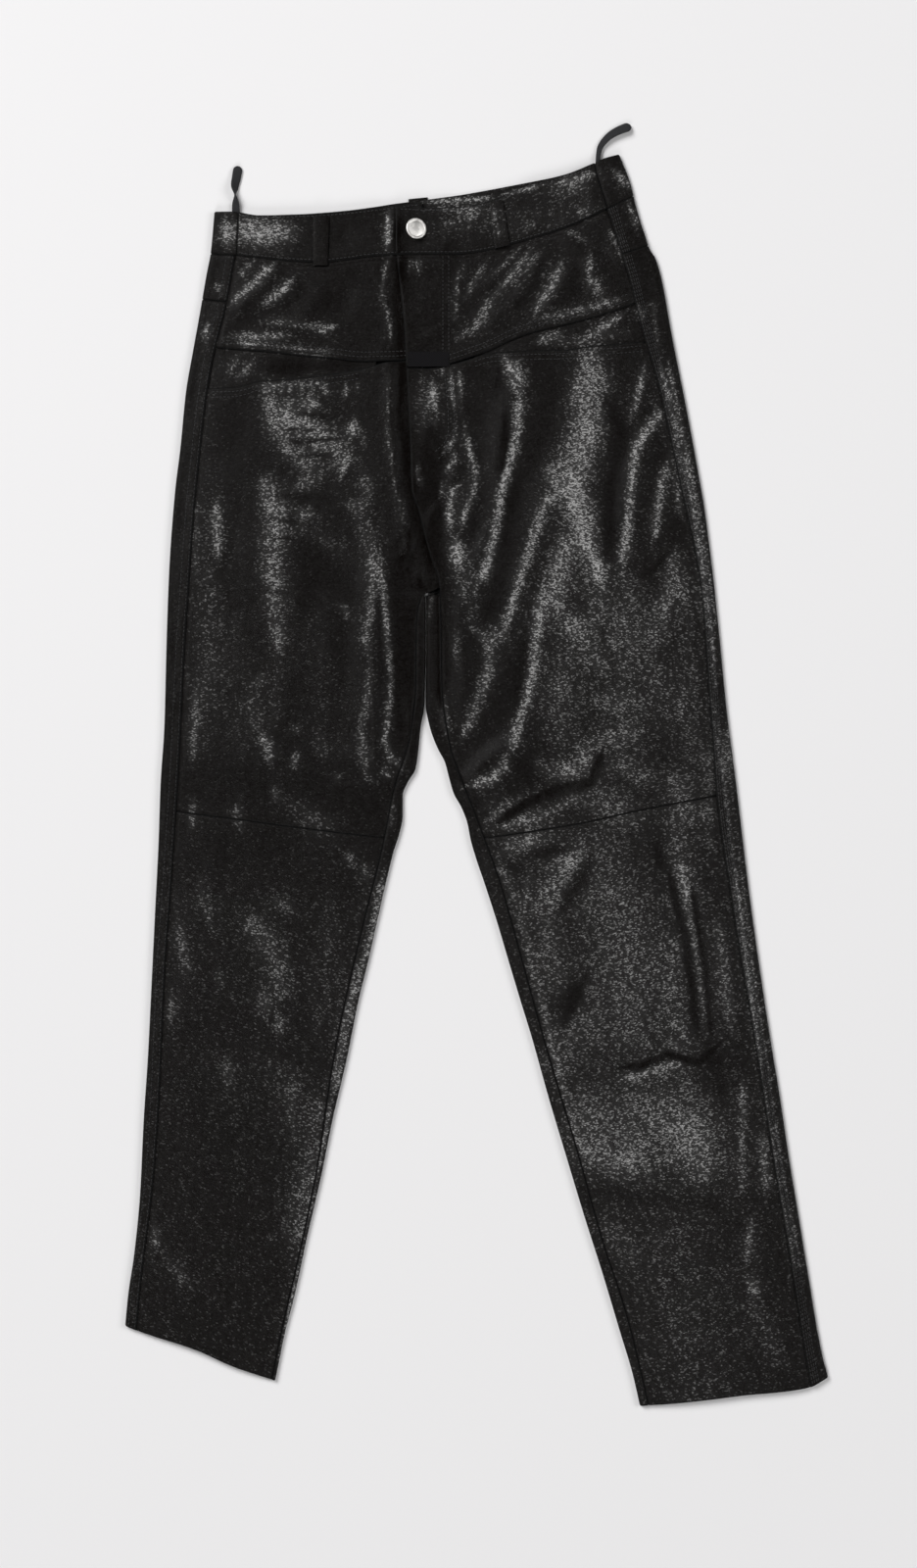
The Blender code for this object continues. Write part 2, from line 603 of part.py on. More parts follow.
def add_ribbon(name, rows, material):
    """Makes a tape along rows of (x, y, lowest height, width, twist)."""
    table = np.array(rows, float)
    station = np.arange(len(rows))
    at = np.linspace(0, station[-1], HANGER_ROWS)
    x, y, low, width, twist = (
        smooth(list(zip(station, column)), at) for column in table.T
    )
    twist = np.radians(twist)
    forward = np.stack([np.gradient(x), np.gradient(y), np.zeros_like(x)], axis=1)
    forward /= np.linalg.norm(forward, axis=1, keepdims=True)
    level = np.cross(forward, (0, 0, 1))
    side = np.cos(twist)[:, None] * level + np.sin(twist)[:, None] * np.array((0, 0, 1))
    face = np.cross(side, forward)
    half_height = (width * np.abs(np.sin(twist)) + TAPE_WALL * np.abs(np.cos(twist))) / 2
    middle = np.stack([x, y, low + half_height], axis=1)
    edge = side * width[:, None] / 2
    near = np.stack([middle - edge, middle, middle + edge], axis=1) + face[:, None] * TAPE_WALL / 2
    far = near - face[:, None] * TAPE_WALL
    add_solid(name, *shell(near, far), material)


def add_button(name, material):
    """Turns the button's outline and tilts it on its shank over the band."""
    mesh = bpy.data.meshes.new(name)
    work = bmesh.new()
    crown = work.verts.new((0, 0, BUTTON_CROWN * MM))
    foot = work.verts.new((0, 0, 0))
    rings = []
    for radius, level in BUTTON_OUTLINE:
        angles = [2 * math.pi * k / BUTTON_SIDES for k in range(BUTTON_SIDES)]
        rings.append([
            work.verts.new((radius * MM * math.cos(a), radius * MM * math.sin(a), level * MM))
            for a in angles
        ])
    for k in range(BUTTON_SIDES):
        after = (k + 1) % BUTTON_SIDES
        work.faces.new((crown, rings[0][k], rings[0][after]))
        work.faces.new((foot, rings[-1][after], rings[-1][k]))
        for upper, lower in zip(rings, rings[1:]):
            work.faces.new((upper[k], lower[k], lower[after], upper[after]))
    work.to_mesh(mesh)
    work.free()
    mesh.shade_smooth()
    mesh.set_sharp_from_angle(angle=math.radians(50))
    mesh.materials.append(material)
    button = bpy.data.objects.new(name, mesh)
    x, y = BUTTON_PLACE
    shank = BUTTON_OUTLINE[-1][0]
    base = float(height(np.array(x), np.array(y))) + SEAM_GAP + shank * math.sin(BUTTON_TILT)
    button.location = (x * MM, y * MM, base * MM)
    button.rotation_mode = "ZYX"
    button.rotation_euler = (0, BUTTON_TILT, BUTTON_TILT_HEADING)
    bpy.context.scene.collection.objects.link(button)


def finish(name, colour, roughness, metallic=0.0):
    """A plain material of one colour."""
    material = bpy.data.materials.new(name)
    material.use_nodes = True
    shader = material.node_tree.nodes["Principled BSDF"]
    shader.inputs["Base Color"].default_value = (*colour, 1)
    shader.inputs["Roughness"].default_value = roughness
    shader.inputs["Metallic"].default_value = metallic
    return material


def shares(count):
    return np.linspace(0, 1, count + 1)


def path_stops(strip, fold, surface):
    """Stops along a wrapped panel: cells on each strip, each fold and the surface."""
    counts = (strip, fold, surface, fold, strip)
    return np.concatenate([[0], *[k + shares(n)[1:] for k, n in enumerate(counts)]])


def add_front(side, leg, lines, facing_end, leather, drop):
    """Makes one side's front yoke, pocket facing, thigh and shin.

    lines are the yoke seam, pocket lip, knee seam and hem, facing_end the place x of the facing's
    inner end, and drop how far the panels sink towards the centre-front edge.
    """
    yoke, lip, knee, hem = lines
    for name, upper, lower, columns, below in (
        ("yoke", WAIST_SEAM, yoke, YOKE_COLUMNS, drop),
        ("thigh", lip, knee, THIGH_COLUMNS, drop),
        ("shin", knee, hem, SHIN_COLUMNS, 0.0),
    ):
        plan, rows = leg.between(upper, lower)
        add_panel(f"front_{name}_{side}", on_top(plan, below), shares(columns), rows, leather)

    seam = leg.side(np.linspace(0, leg.last, leg.last * LINE_POINTS))
    top_y, low_y = (np.interp(0, smooth(rows, seam[:, 0]) - seam[:, 1], seam[:, 1])
                    for rows in (yoke, lip))
    heights = np.linspace(top_y + FACING_TOP_LAP, low_y - POCKET_UNDERLAP, FACING_ROWS + 1)
    facing_side = np.stack([np.interp(-heights, -seam[:, 1], seam[:, 0]), heights], axis=1)
    top = across(yoke, facing_side[0, 0], facing_end) + (0, FACING_TOP_LAP)
    bottom = across(lip, facing_side[-1, 0], facing_end) - (0, POCKET_UNDERLAP)
    inner_side = np.linspace(top[-1], bottom[-1], FACING_ROWS + 1)
    facing = patch(top, bottom, facing_side, inner_side)
    add_panel(f"pocket_facing_{side}", on_top(facing, LAYER_STEP), shares(FACING_COLUMNS),
              shares(FACING_ROWS), leather)


def add_band(leather):
    """Makes the waistband: its back, which wraps round both sides, and its two fronts."""
    band = Band()
    rows = shares(BAND_ROWS)
    add_panel("waistband_back", wrapped(band), path_stops(*BAND_CELLS), rows, leather)
    right_side, left_side = band.sides(rows)
    fly_x = FLY_EDGE[0][1]
    lap_x = fly_x + BUTTON_LAP
    seam_edge = (0, SEAM_GAP / 2)
    lap_slope = (0, -BUTTON_LAP_DROP) * shares(LINE_POINTS - 1)[:, None]
    for side, top, bottom, ends, drop in (
        ("right", across(BACK_TOP, right_side[0, 0], lap_x) + lap_slope,
         across(WAIST_SEAM, right_side[-1, 0], lap_x) + seam_edge, (right_side, None), under_fly),
        ("left", across(LEFT_FRONT_TOP, fly_x, left_side[0, 0]),
         across(WAIST_SEAM, fly_x, left_side[-1, 0]) + seam_edge, (None, left_side), 0.0),
    ):
        sides = [np.linspace(top[at], bottom[at], BAND_ROWS + 1) if end is None else end
                 for at, end in zip((0, -1), ends)]
        plan = patch(top, bottom, *sides)
        add_panel(f"waistband_front_{side}", on_top(plan, drop), shares(BAND_FRONT_COLUMNS), rows,
                  leather)


def build():
    leather = finish("leather", (0.012, 0.012, 0.013), 0.35)
    tape = finish("tape", (0.03, 0.03, 0.032), 0.8)
    woven = finish("woven_label", (0.06, 0.06, 0.065), 0.8)
    metal = finish("button_metal", (0.75, 0.74, 0.72), 0.3, 1.0)

    right = Leg((RIGHT_OUTER, RIGHT_INNER), (RIGHT_SIDE_SEAM, RIGHT_INSIDE_SEAM), TUCKED_EDGE,
                RIGHT_STATIONS, RIGHT_HEM)
    left = Leg((LEFT_OUTER, LEFT_INNER), (LEFT_SIDE_SEAM, LEFT_INSIDE_SEAM), FLY_EDGE,
               LEFT_STATIONS, LEFT_HEM)
    for side, leg in (("right", right), ("left", left)):
        back = wrapped(leg)
        add_panel(f"back_yoke_{side}", back, path_stops(*BACK_YOKE_CELLS),
                  leg.row_stations(0, YOKE_STATION), leather)
        add_panel(f"back_leg_{side}", back, path_stops(*BACK_LEG_CELLS),
                  leg.row_stations(YOKE_STATION, HEM_STATION), leather)

    right_lines = (RIGHT_YOKE_SEAM, RIGHT_POCKET_LIP, RIGHT_KNEE_SEAM, RIGHT_HEM)
    left_lines = (LEFT_YOKE_SEAM, LEFT_POCKET_LIP, LEFT_KNEE_SEAM, LEFT_HEM)
    add_front("right", right, right_lines, RIGHT_FACING_END, leather, under_fly)
    add_front("left", left, left_lines, LEFT_FACING_END, leather, 0.0)
    add_band(leather)

    for name, corners in (("belt_loop_right", RIGHT_LOOP), ("belt_loop_left", LEFT_LOOP)):
        lines = quad(corners)
        add_panel(name, on_top(patch(*lines), -SEAM_GAP - WALL), shares(2), shares(6), leather)
    lines = quad(LABEL_TAB)
    add_panel("label_tab", on_top(patch(*lines), -SEAM_GAP - LABEL_WALL), shares(6), shares(2),
              woven, LABEL_WALL)

    back_loop = patch(*quad(BACK_LOOP))

    def flat(s, t):
        place = back_loop(s, t)
        return np.concatenate([place, np.full_like(place[..., :1], BACK_LOOP_WALL)], axis=-1)

    add_panel("belt_loop_back", flat, shares(2), shares(4), leather, BACK_LOOP_WALL)
    add_ribbon("hanger_loop_right", RIGHT_HANGER, tape)
    add_ribbon("hanger_loop_left", LEFT_HANGER, tape)
    add_button("button", metal)


for old in list(bpy.data.objects):
    bpy.data.objects.remove(old)
build()
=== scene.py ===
"""Dresses the leather trousers that lie flat, front up: leather, seams, topstitching and trim.

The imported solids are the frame, and each is replaced by a finer sheet of the same cut. Right and
left are the wearer's, so the right leg lies at -X; +Y runs to the waist and +Z up from the surface.
Sizes and tables are in millimetres until a mesh is made.
"""

from __future__ import annotations

import json
import logging
import math
from collections.abc import Callable
from dataclasses import dataclass, field
from enum import Enum

import bpy
import numpy as np
from mathutils import Matrix, Vector

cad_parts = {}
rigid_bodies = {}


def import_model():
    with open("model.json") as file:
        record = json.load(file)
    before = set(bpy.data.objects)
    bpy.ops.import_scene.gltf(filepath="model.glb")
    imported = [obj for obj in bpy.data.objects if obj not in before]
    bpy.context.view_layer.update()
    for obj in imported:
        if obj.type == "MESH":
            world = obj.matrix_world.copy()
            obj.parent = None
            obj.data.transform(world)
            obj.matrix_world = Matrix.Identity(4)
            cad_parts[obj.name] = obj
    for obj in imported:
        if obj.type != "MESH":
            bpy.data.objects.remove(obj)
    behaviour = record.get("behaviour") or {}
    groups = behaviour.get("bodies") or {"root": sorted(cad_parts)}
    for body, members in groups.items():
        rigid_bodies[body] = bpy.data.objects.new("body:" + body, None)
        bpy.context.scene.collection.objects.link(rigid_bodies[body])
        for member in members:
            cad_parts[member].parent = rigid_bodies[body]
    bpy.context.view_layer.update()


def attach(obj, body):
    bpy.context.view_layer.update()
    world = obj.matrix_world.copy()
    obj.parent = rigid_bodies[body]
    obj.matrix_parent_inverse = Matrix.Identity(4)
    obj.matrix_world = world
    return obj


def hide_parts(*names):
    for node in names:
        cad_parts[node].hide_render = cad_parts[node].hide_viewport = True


LOG = logging.getLogger("trousers")
MM = 0.001
BODY = "root"

Array = np.ndarray
Rows = list[tuple[float, ...]]
Surface = Callable[[Array, Array], Array]
Colour = tuple[float, float, float, float]

# Folded edges, seen from above: height y, place x.
RIGHT_OUTER: Rows = [
    (461, -219.3), (426, -222.6), (409, -225.9), (376, -231.6), (344, -237.4), (311, -243.1),
    (262, -248.0), (229, -252.1), (163, -257.1), (98, -259.5), (32, -261.2), (-17, -264.4),
    (-66, -266.1), (-116, -268.6), (-181, -271.8), (-247, -275.1), (-296, -278.4),
    (-362, -281.7), (-411, -286.6), (-444, -291.5), (-470, -294.0),
]
LEFT_OUTER: Rows = [
    (509, 119.3), (485, 128.5), (469, 132.4), (457, 135.7), (442, 140.6), (430, 144.7),
    (422, 149.6), (401, 155.4), (360, 162.8), (327, 169.3), (294, 175.9), (245, 184.9),
    (212, 190.6), (180, 194.8), (147, 198.8), (98, 203.8), (48, 208.7), (-17, 216.9),
    (-58, 221.8), (-99, 226.7), (-148, 233.3), (-230, 245.6), (-280, 253.8), (-329, 261.2),
    (-378, 269.4), (-427, 277.6), (-493, 289.0), (-513, 294.0),
]
# Above the crotch these follow the centre-back seam.
RIGHT_INNER: Rows = [
    (471, -48.8), (425, -48.8), (368, -46.3), (180, -43.0), (141, -42.6), (98, -42.6),
    (48, -43.9), (28, -47.1), (7, -49.2), (-5, -51.2), (-16, -57.8), (-27, -61.9),
    (-44, -61.9), (-58, -64.4), (-73, -69.3), (-96, -75.0), (-132, -83.2), (-165, -90.6),
    (-198, -98.8), (-247, -108.6), (-296, -120.1), (-345, -130.0), (-394, -141.4),
    (-444, -152.1), (-476, -160.3), (-516, -168.5),
]
LEFT_INNER: Rows = [
    (471, -48.8), (425, -48.8), (368, -46.3), (180, -42.6), (141, -42.1), (98, -42.1),
    (48, -42.6), (36, -40.6), (24, -37.3), (12, -32.4), (1, -26.6), (-11, -23.4),
    (-25, -19.3), (-37, -12.7), (-50, -7.8), (-63, -5.3), (-80, -0.4), (-99, 6.1),
    (-132, 16.8), (-165, 26.6), (-198, 36.5), (-230, 46.3), (-280, 60.3), (-329, 75.0),
    (-378, 89.8), (-427, 105.4), (-476, 120.1), (-509, 130.0), (-537, 136.5),
]

# Matching heights on the two edges of a leg: outer y, inner y.
RIGHT_STATIONS: Rows = [
    (426, 425), (388, 368), (150, 144), (145, 139), (30, 30), (-40, -63), (-470, -516),
]
LEFT_STATIONS: Rows = [
    (474, 425), (433, 368), (150, 144), (145, 139), (34, 40), (-25, -62), (-513, -537),
]
YOKE_STATION, CROTCH_STATION, INSEAM_STATION, HEM_STATION = 1, 2, 3, 6

# Side seams and inside seams on the top: height y, place x.
RIGHT_SIDE_SEAM: Rows = [
    (461, -199.7), (430, -201.3), (424, -202.1), (401, -205.8), (376, -210.7), (360, -215.0),
    (335, -221.0), (294, -227.3), (262, -230.8), (212, -235.8), (147, -240.5), (97, -243.9),
    (47, -246.4), (-4, -248.9), (-54, -252.1), (-116, -256.2), (-167, -260.0), (-217, -262.4),
    (-267, -264.6), (-334, -268.8), (-397, -275.9), (-424, -279.4), (-470, -284.1),
]
LEFT_SIDE_SEAM: Rows = [
    (501, 98.0), (465, 109.5), (442, 116.0), (421, 122.5), (401, 128.3), (376, 134.4),
    (360, 138.8), (330, 148.0), (293, 157.0), (255, 165.0), (217, 173.4), (180, 181.6),
    (143, 187.5), (65, 193.5), (35, 195.8), (-27, 200.4), (-58, 204.0), (-99, 210.3),
    (-148, 217.7), (-181, 223.4), (-214, 229.0), (-263, 237.0), (-321, 246.0), (-394, 258.5),
    (-427, 264.2), (-493, 275.1), (-513, 278.8),
]
RIGHT_INSIDE_SEAM: Rows = [
    (144, -45.6), (139, -46.2), (129, -49.2), (110, -50.4), (65, -50.8), (28, -54.5),
    (3, -61.0), (-13, -66.5), (-30, -71.0), (-50, -74.8), (-73, -79.4), (-96, -85.0),
    (-132, -94.0), (-181, -105.8), (-230, -116.4), (-263, -122.2), (-296, -127.0),
    (-329, -131.8), (-394, -144.6), (-476, -163.4), (-516, -171.5),
]
LEFT_INSIDE_SEAM: Rows = [
    (144, -30.8), (139, -30.6), (114, -30.0), (65, -29.2), (16, -22.6), (-9, -14.5),
    (-27, -7.4), (-46, 0.0), (-62, 6.1), (-102, 20.2), (-158, 36.0), (-218, 52.6),
    (-260, 64.8), (-321, 83.2), (-407, 107.6), (-442, 119.5), (-470, 127.8), (-512, 138.0),
    (-537, 143.9),
]

# Lines across the garment: place x, height y.
WAIST_SEAM: Rows = [
    (-222.6, 426), (-206, 424.8), (-184, 422.3), (-153, 419.2), (-130, 418.3), (-112, 419.9),
    (-92, 422.8), (-70, 424.5), (-45, 424.9), (-20, 424.9), (-5, 426), (13, 429.2),
    (28, 433), (44, 437.7), (60.5, 442.6), (77, 448.1), (93, 455), (109, 463.2), (120, 468.8),
    (131.2, 474),
]
BACK_TOP: Rows = [
    (-219.3, 461), (-205, 461), (-182, 458), (-153, 459), (-112, 462), (-67, 468), (-22, 474),
    (44, 486), (77, 493), (93, 498), (105, 505), (119.3, 509),
]
LEFT_FRONT_TOP: Rows = [
    (-67.6, 465), (-38, 463.5), (-14, 464), (11, 469), (28, 476), (48, 484), (77, 491.6),
    (98, 500),
]
RIGHT_YOKE_SEAM: Rows = [
    (-217, 347), (-194, 345), (-169, 343), (-145, 340), (-120, 338), (-96, 335.6), (-71, 336.4),
    (-48, 338),
]
LEFT_YOKE_SEAM: Rows = [
    (-60, 331), (-40, 331), (-23, 333.7), (-9, 338), (11, 345), (28, 353), (44, 359),
    (77, 367), (110, 376), (132, 384),
]
RIGHT_POCKET_LIP: Rows = [
    (-224, 314), (-206, 314), (-190, 316.5), (-184, 319), (-153, 321.4), (-120, 325.5),
    (-104, 328), (-87, 332), (-75, 335.4), (-48, 337.4),
]
LEFT_POCKET_LIP: Rows = [
    (-60, 330.4), (-40, 330.4), (-23, 333), (-5, 338), (11, 342.8), (44, 344.8), (77, 346),
    (93, 348.5), (110, 350), (140, 352.6),
]
RIGHT_KNEE_SEAM: Rows = [
    (-250, -40), (-241, -41.5), (-196, -47.2), (-164, -51.6), (-117, -57.6), (-95, -60.2),
    (-73, -62.4),
]
LEFT_KNEE_SEAM: Rows = [(6, -62.5), (14, -61.5), (88, -50), (128, -41), (200, -27)]
RIGHT_HEM: Rows = [(-294, -470), (-284, -474), (-235, -490), (-206, -503), (-168.5, -516)]
LEFT_HEM: Rows = [
    (136.5, -537), (159, -535.5), (192, -532), (224, -528), (257, -525), (278, -521.5),
    (294, -513),
]

# Centre-front edges: height y, place x. The left front covers the right one down to the crotch.
FLY_EDGE: Rows = [
    (470, -67.6), (426, -66.8), (393, -63.5), (360, -60.3), (327, -58.6), (294, -57.0),
    (262, -55.3), (229, -54.5), (212, -48.8), (192, -43.9), (171, -38.1), (155, -32.4),
    (144, -30.7), (139, -30.4),
]
TUCKED_EDGE: Rows = [
    (426, -56.0), (393, -53.0), (327, -48.5), (229, -44.0), (192, -36.5), (171, -31.5),
    (160, -28.5), (152, -28.0), (147, -31.0), (143.5, -38.0), (142, -43.0),
]

# The largest folds: from x, y, to x, y, bow to the left of the way there, width, height.
FOLDS: Rows = [
    # Right yoke
    (-165, 419, -209, 376, 2, 9, 1.6), (-149, 409, -184, 380, 0, 8, 1.4),
    (-184, 371, -116, 364, 2, 8, 1.2),
    # Left yoke
    (60, 438, -5, 356, 4, 8, 2.0), (78, 424, 44, 372, 3, 8, 1.6), (97, 434, 91, 393, -5, 9, 1.2),
    # Right thigh
    (-153, 318, -153, 246, 3, 22, 1.6), (-171, 229, -167, 114, 4, 14, 1.2),
    (-88, 196, -83, -14, -6, 9, 2.2), (-128, 12, -55, -18, 5, 9, 1.9),
    # Left thigh
    (32, 337, 15, 196, -8, 10, 2.0), (17, 205, -17, 139, -4, 9, 1.7), (93, 335, 21, 114, -9, 16, 2.0),
    (85, 286, 103, 139, 6, 13, 1.4), (150, 298, 119, 188, -6, 9, 1.7), (-15, 237, -21, 147, -3, 8, 1.5),
    (-18, 130, -13, 32, 2, 7, 1.9),
    # Left knee
    (-18, -20, 48, 32, 6, 8, 2.3), (-7, -43, 48, -24, 4, 8, 1.7), (11, -46, 105, 7, -6, 9, -1.4),
    # Left shin
    (160, -83, 185, -230, 3, 10, -1.6), (180, -102, 196, -230, 2, 8, -1.2),
    (96, -300, 196, -300, 6, 26, 1.5),
    # Right shin
    (-173, -140, -173, -230, 3, 15, 1.5), (-128, -99, -153, -345, 4, 15, -1.0),
]
# Smaller creases in the same columns.
CREASES: Rows = [
    # Right yoke
    (-165, 419, -209, 376, 2, 4, 0.5), (-202, 360, -169, 356, 0, 4, 0.5),
    (-194, 401, -205, 364, 1, 5, 0.6), (-128, 401, -153, 368, -2, 9, 0.6),
    (-104, 405, -110, 368, 2, 10, -0.6),
    # Beside the fly
    (-74, 424, -78, 389, 1, 4, 1.0), (-78, 393, -71, 344, 1, 4, 0.9),
    (-71, 345, -74, 286, -1, 4.5, 1.0), (-74, 290, -69, 233, 1, 4.5, 0.9),
    (-69, 237, -62, 189, 1, 4, 0.9),
    # Right thigh
    (-161, 311, -124, 315, 1, 3, 0.35), (-173, 294, -128, 301, 1, 3, 0.4),
    (-178, 281, -124, 288, -1, 3, 0.4), (-165, 270, -120, 275, 1, 3, 0.4),
    (-153, 257, -116, 263, 1, 3, 0.35), (-116, 257, -110, 233, 1, 5, 0.8),
    (-153, 229, -179, 180, 2, 9, 0.9), (-145, 171, -153, 106, -3, 8, 0.6),
    (-219, 219, -214, 163, 1, 5, 0.7), (-200, 212, -204, 114, 2, 9, -0.6),
    (-101, 222, -81, 143, 2, 6, 0.9), (-91, 180, -94, 81, -3, 6, 0.6), (-77, 171, -81, 65, 3, 5, 0.9),
    (-87, 73, -84, -17, -3, 5, 0.9), (-61, 65, -56, -7, 3, 5, 1.1), (-108, 114, -112, 16, 3, 9, -0.6),
    (-128, 147, -132, 48, 2, 10, 0.6), (-247, 65, -227, 28, 2, 6, 0.5),
    # Left yoke
    (44, 430, 3, 376, 2, 5, 0.8), (27, 421, -4, 393, 1, 4, 0.6), (-15, 421, -20, 364, 1, 2.5, 0.5),
    (68, 446, 97, 424, -4, 5, 0.8), (97, 424, 91, 393, -2, 4, 0.5), (108, 446, 123, 408, -2, 5, 0.8),
    (126, 424, 134, 385, -1, 4, 0.6), (11, 393, 60, 388, 2, 4, 0.4), (-26, 368, -55, 352, 1, 4, 0.5),
    # Fly
    (-15, 335, -10, 278, -1, 3.5, 0.7), (-10, 278, -1, 239, 1, 3.5, 0.7),
    (-1, 239, -12, 203, 2, 4, 0.7), (-18, 257, -30, 222, 3, 3.5, 0.7), (-30, 222, -43, 196, -2, 4, 0.7),
    (-38, 286, -28, 253, -2, 5, 0.6), (-46, 315, -41, 270, 1, 6, 0.5), (-55, 200, -64, 170, 2, 4, 0.9),
    (-49, 192, -50, 147, 1, 4, 0.8),
    # Left thigh
    (32, 339, 31, 278, -2, 5, 0.6), (31, 282, 18, 221, -2, 5, 0.6), (18, 225, -4, 155, -2, 5, 0.6),
    (-4, 159, -20, 114, -2, 5, 0.8), (96, 337, 81, 278, -3, 9, 0.6), (60, 229, 44, 180, -2, 6, 0.8),
    (44, 184, 19, 110, -2, 6, 0.8), (93, 196, 111, 137, 4, 8, 0.8), (60, 180, 73, 65, -5, 16, 0.7),
    (131, 263, 121, 180, -3, 5, 0.6), (139, 342, 134, 285, -2, 6, 0.7),
    (160, 255, 147, 186, -3, 5, 1.0), (167, 175, 149, 144, 1, 5, -0.7), (167, 155, 152, 114, 2, 5, 0.7),
    (0, 247, -14, 178, -3, 5, 0.9), (109, 278, 116, 155, 2, 6, -0.7), (138, 114, 126, 32, -4, 12, 0.6),
    (93, 106, 60, 16, -6, 18, 0.7), (36, 114, 11, 32, -5, 12, 0.6), (-28, 57, -23, 14, -1, 4, 0.6),
    # Left knee
    (-19, -18, 11, -9, 2, 5, 0.6), (9, -11, 48, 34, 4, 5, 0.5), (27, -35, 50, -22, 1, 5, 0.9),
    (59, -29, 95, -17, 1, 5, -0.7), (93, -19, 107, 9, -2, 6, -0.6), (-14, -30, 7, -27, 0, 4, 0.8),
    (60, 7, 101, 28, 4, 10, 0.7), (109, -9, 159, 16, 4, 12, 0.6),
    # Left shin
    (118, -253, 138, -252, 0, 4, -0.8), (137, -253, 160, -242, 1, 4, -0.9),
    (159, -242, 187, -251, 1, 4, -0.8), (126, -262, 175, -257, 1, 6, 0.6),
    (159, -83, 175, -165, 2, 5, -0.5), (167, -91, 185, -181, 2, 5, 0.6),
    (44, -99, 85, -189, 5, 12, 0.7), (85, -83, 126, -181, 4, 14, 0.6),
    (126, -181, 142, -243, 2, 12, 0.6), (93, -230, 114, -304, 4, 14, 0.6),
    (204, -140, 218, -247, 2, 6, 0.6), (222, -247, 232, -370, 2, 5, -0.8),
    (212, -271, 218, -370, 2, 6, 0.8), (237, -296, 245, -378, 2, 5, 0.7),
    (228, -378, 237, -452, 2, 6, 0.8), (109, -337, 200, -353, 5, 16, -0.7),
    (126, -419, 191, -403, 4, 14, 0.5),
    # Right shin
    (-202, -50, -153, -66, 3, 8, 0.5), (-184, -140, -161, -230, 4, 12, 0.5),
    (-167, -169, -176, -222, 2, 8, 0.8), (-246, -128, -245, -169, 1, 6, 0.8),
    (-214, -169, -217, -189, 0, 5, 0.6), (-209, -247, -212, -267, 0, 5, 0.6),
    (-120, -83, -128, -173, 3, 9, 0.6), (-91, -83, -112, -189, 3, 6, 0.7),
    (-153, -280, -184, -394, 5, 14, 0.5), (-235, -304, -243, -419, 4, 12, 0.5),
    (-223, -66, -231, -124, 2, 8, 0.6),
    # Waistband
    (-214, 458, -212, 427, 1, 5, 0.7), (-202, 457, -199, 427, -1, 4, 0.7),
    (-184, 455, -178, 424, 1, 7, 0.6), (-161, 455, -153, 424, 1, 7, 0.5),
    (-112, 457, -104, 427, 1, 9, -0.5), (-74, 463, -73, 429, 1, 3.5, 0.9),
    (-14, 462, 1, 430, 1, 6, 0.5), (40, 454, 48, 442, 1, 5, 0.6), (67, 457, 85, 447, 1, 5, 0.6),
    (90, 491, 96, 462, 1, 5, 0.6), (106, 499, 119, 478, -1, 4, 0.7), (-34, 457, -28, 432, 1, 4, -0.4),
]
# Creases of the back, which lift it off the surface.
BACK_CREASES: Rows = [
    (-70, 330, -180, 250, 8, 9, 1.1), (-60, 250, -150, 150, 8, 8, 0.9), (-20, 330, 90, 265, -8, 9, 1.0),
    (-30, 240, 80, 130, -8, 8, 1.2), (-60, 120, -200, 60, 9, 9, 1.0), (-10, 110, 130, 40, -9, 9, 0.9),
    (-90, -20, -230, -50, 6, 8, 1.2), (30, -30, 180, -20, 6, 8, 1.2),
    (-110, -80, -220, -130, 6, 9, 0.8), (60, -90, 190, -120, 6, 9, 0.9),
    (-180, -200, -210, -380, 6, 10, 0.7), (130, -240, 190, -430, 6, 10, 0.8),
]

# Sizes of the cut and of how it is put together.
WALL = 1.2
SEAM_GAP = 0.3
LAYER_STEP = 1.9
FOLD_RADIUS = 2.3
EDGE_HEIGHT = 4.8
CROWN, CROWN_REACH = 1.6, 20.0
FOLD_RELIEF, CREASE_RELIEF, LEE = 1.5, 1.7, 0.6  # how bold they are; ridges lie this much off the light
LIGHT = (-0.73, 0.68)
FOLD_FADE, CREASE_FADE, BACK_FADE = 10.0, 4.0, 22.0  # they die out this near a folded edge
CENTRE_REACH, CENTRE_LOW, CENTRE_HIGH = 60.0, 100.0, 180.0  # no inner edge above the crotch
TUCK_SLOPE, TUCK_AHEAD = 12.0, 6.0
TAIL = 14.0
UNDERLAP, UNDER_SINK = 2.0, 1.3  # a lapped edge goes on this far under its neighbour
LAP_LIFT, LAP_REACH = 0.45, 9.0  # the upper one stands up on its turning
BUTT_SINK = 0.4
STITCH_PULL, FIRST_ROW = 0.15, 1.6
UNDER_SLOPE, BUTT_SLOPE = 2.4, 1.6
SEAM_RIDGE, RIDGE_PLACE, RIDGE_REACH = 0.06, 3.6, 2.2  # the leather swells beside a flat seam
LAP_WEAR, CUT_WEAR = (0.85, 0.7), (0.45, 0.5)  # how much of the face an edge loses, how far in
RAW_WEAR = 0.6  # leather worn down this much shows its raw edge
EDGE_CHANGE = 12.0  # one kind of edge gives way to another over this length
EDGE_STOPS = (0.0, 0.35, 0.8, 1.4, 2.1, 3.0, 4.2, 6.0)
CELL = 2.3  # distance between points of the leather
CROTCH_ROWS = 20.0  # rows at the crotch are as many as on this length elsewhere
LINE_POINTS, FRONT_POINTS, PATH_POINTS = 80, 240, 500
CROSSING_ROUNDS = 6
UPRIGHT = 0.8  # leather this level is as thick as its wall straight down
FAR, TINY = 1e3, 1e-12
SHARP = math.radians(50)  # faces that meet at more than this have a crisp edge

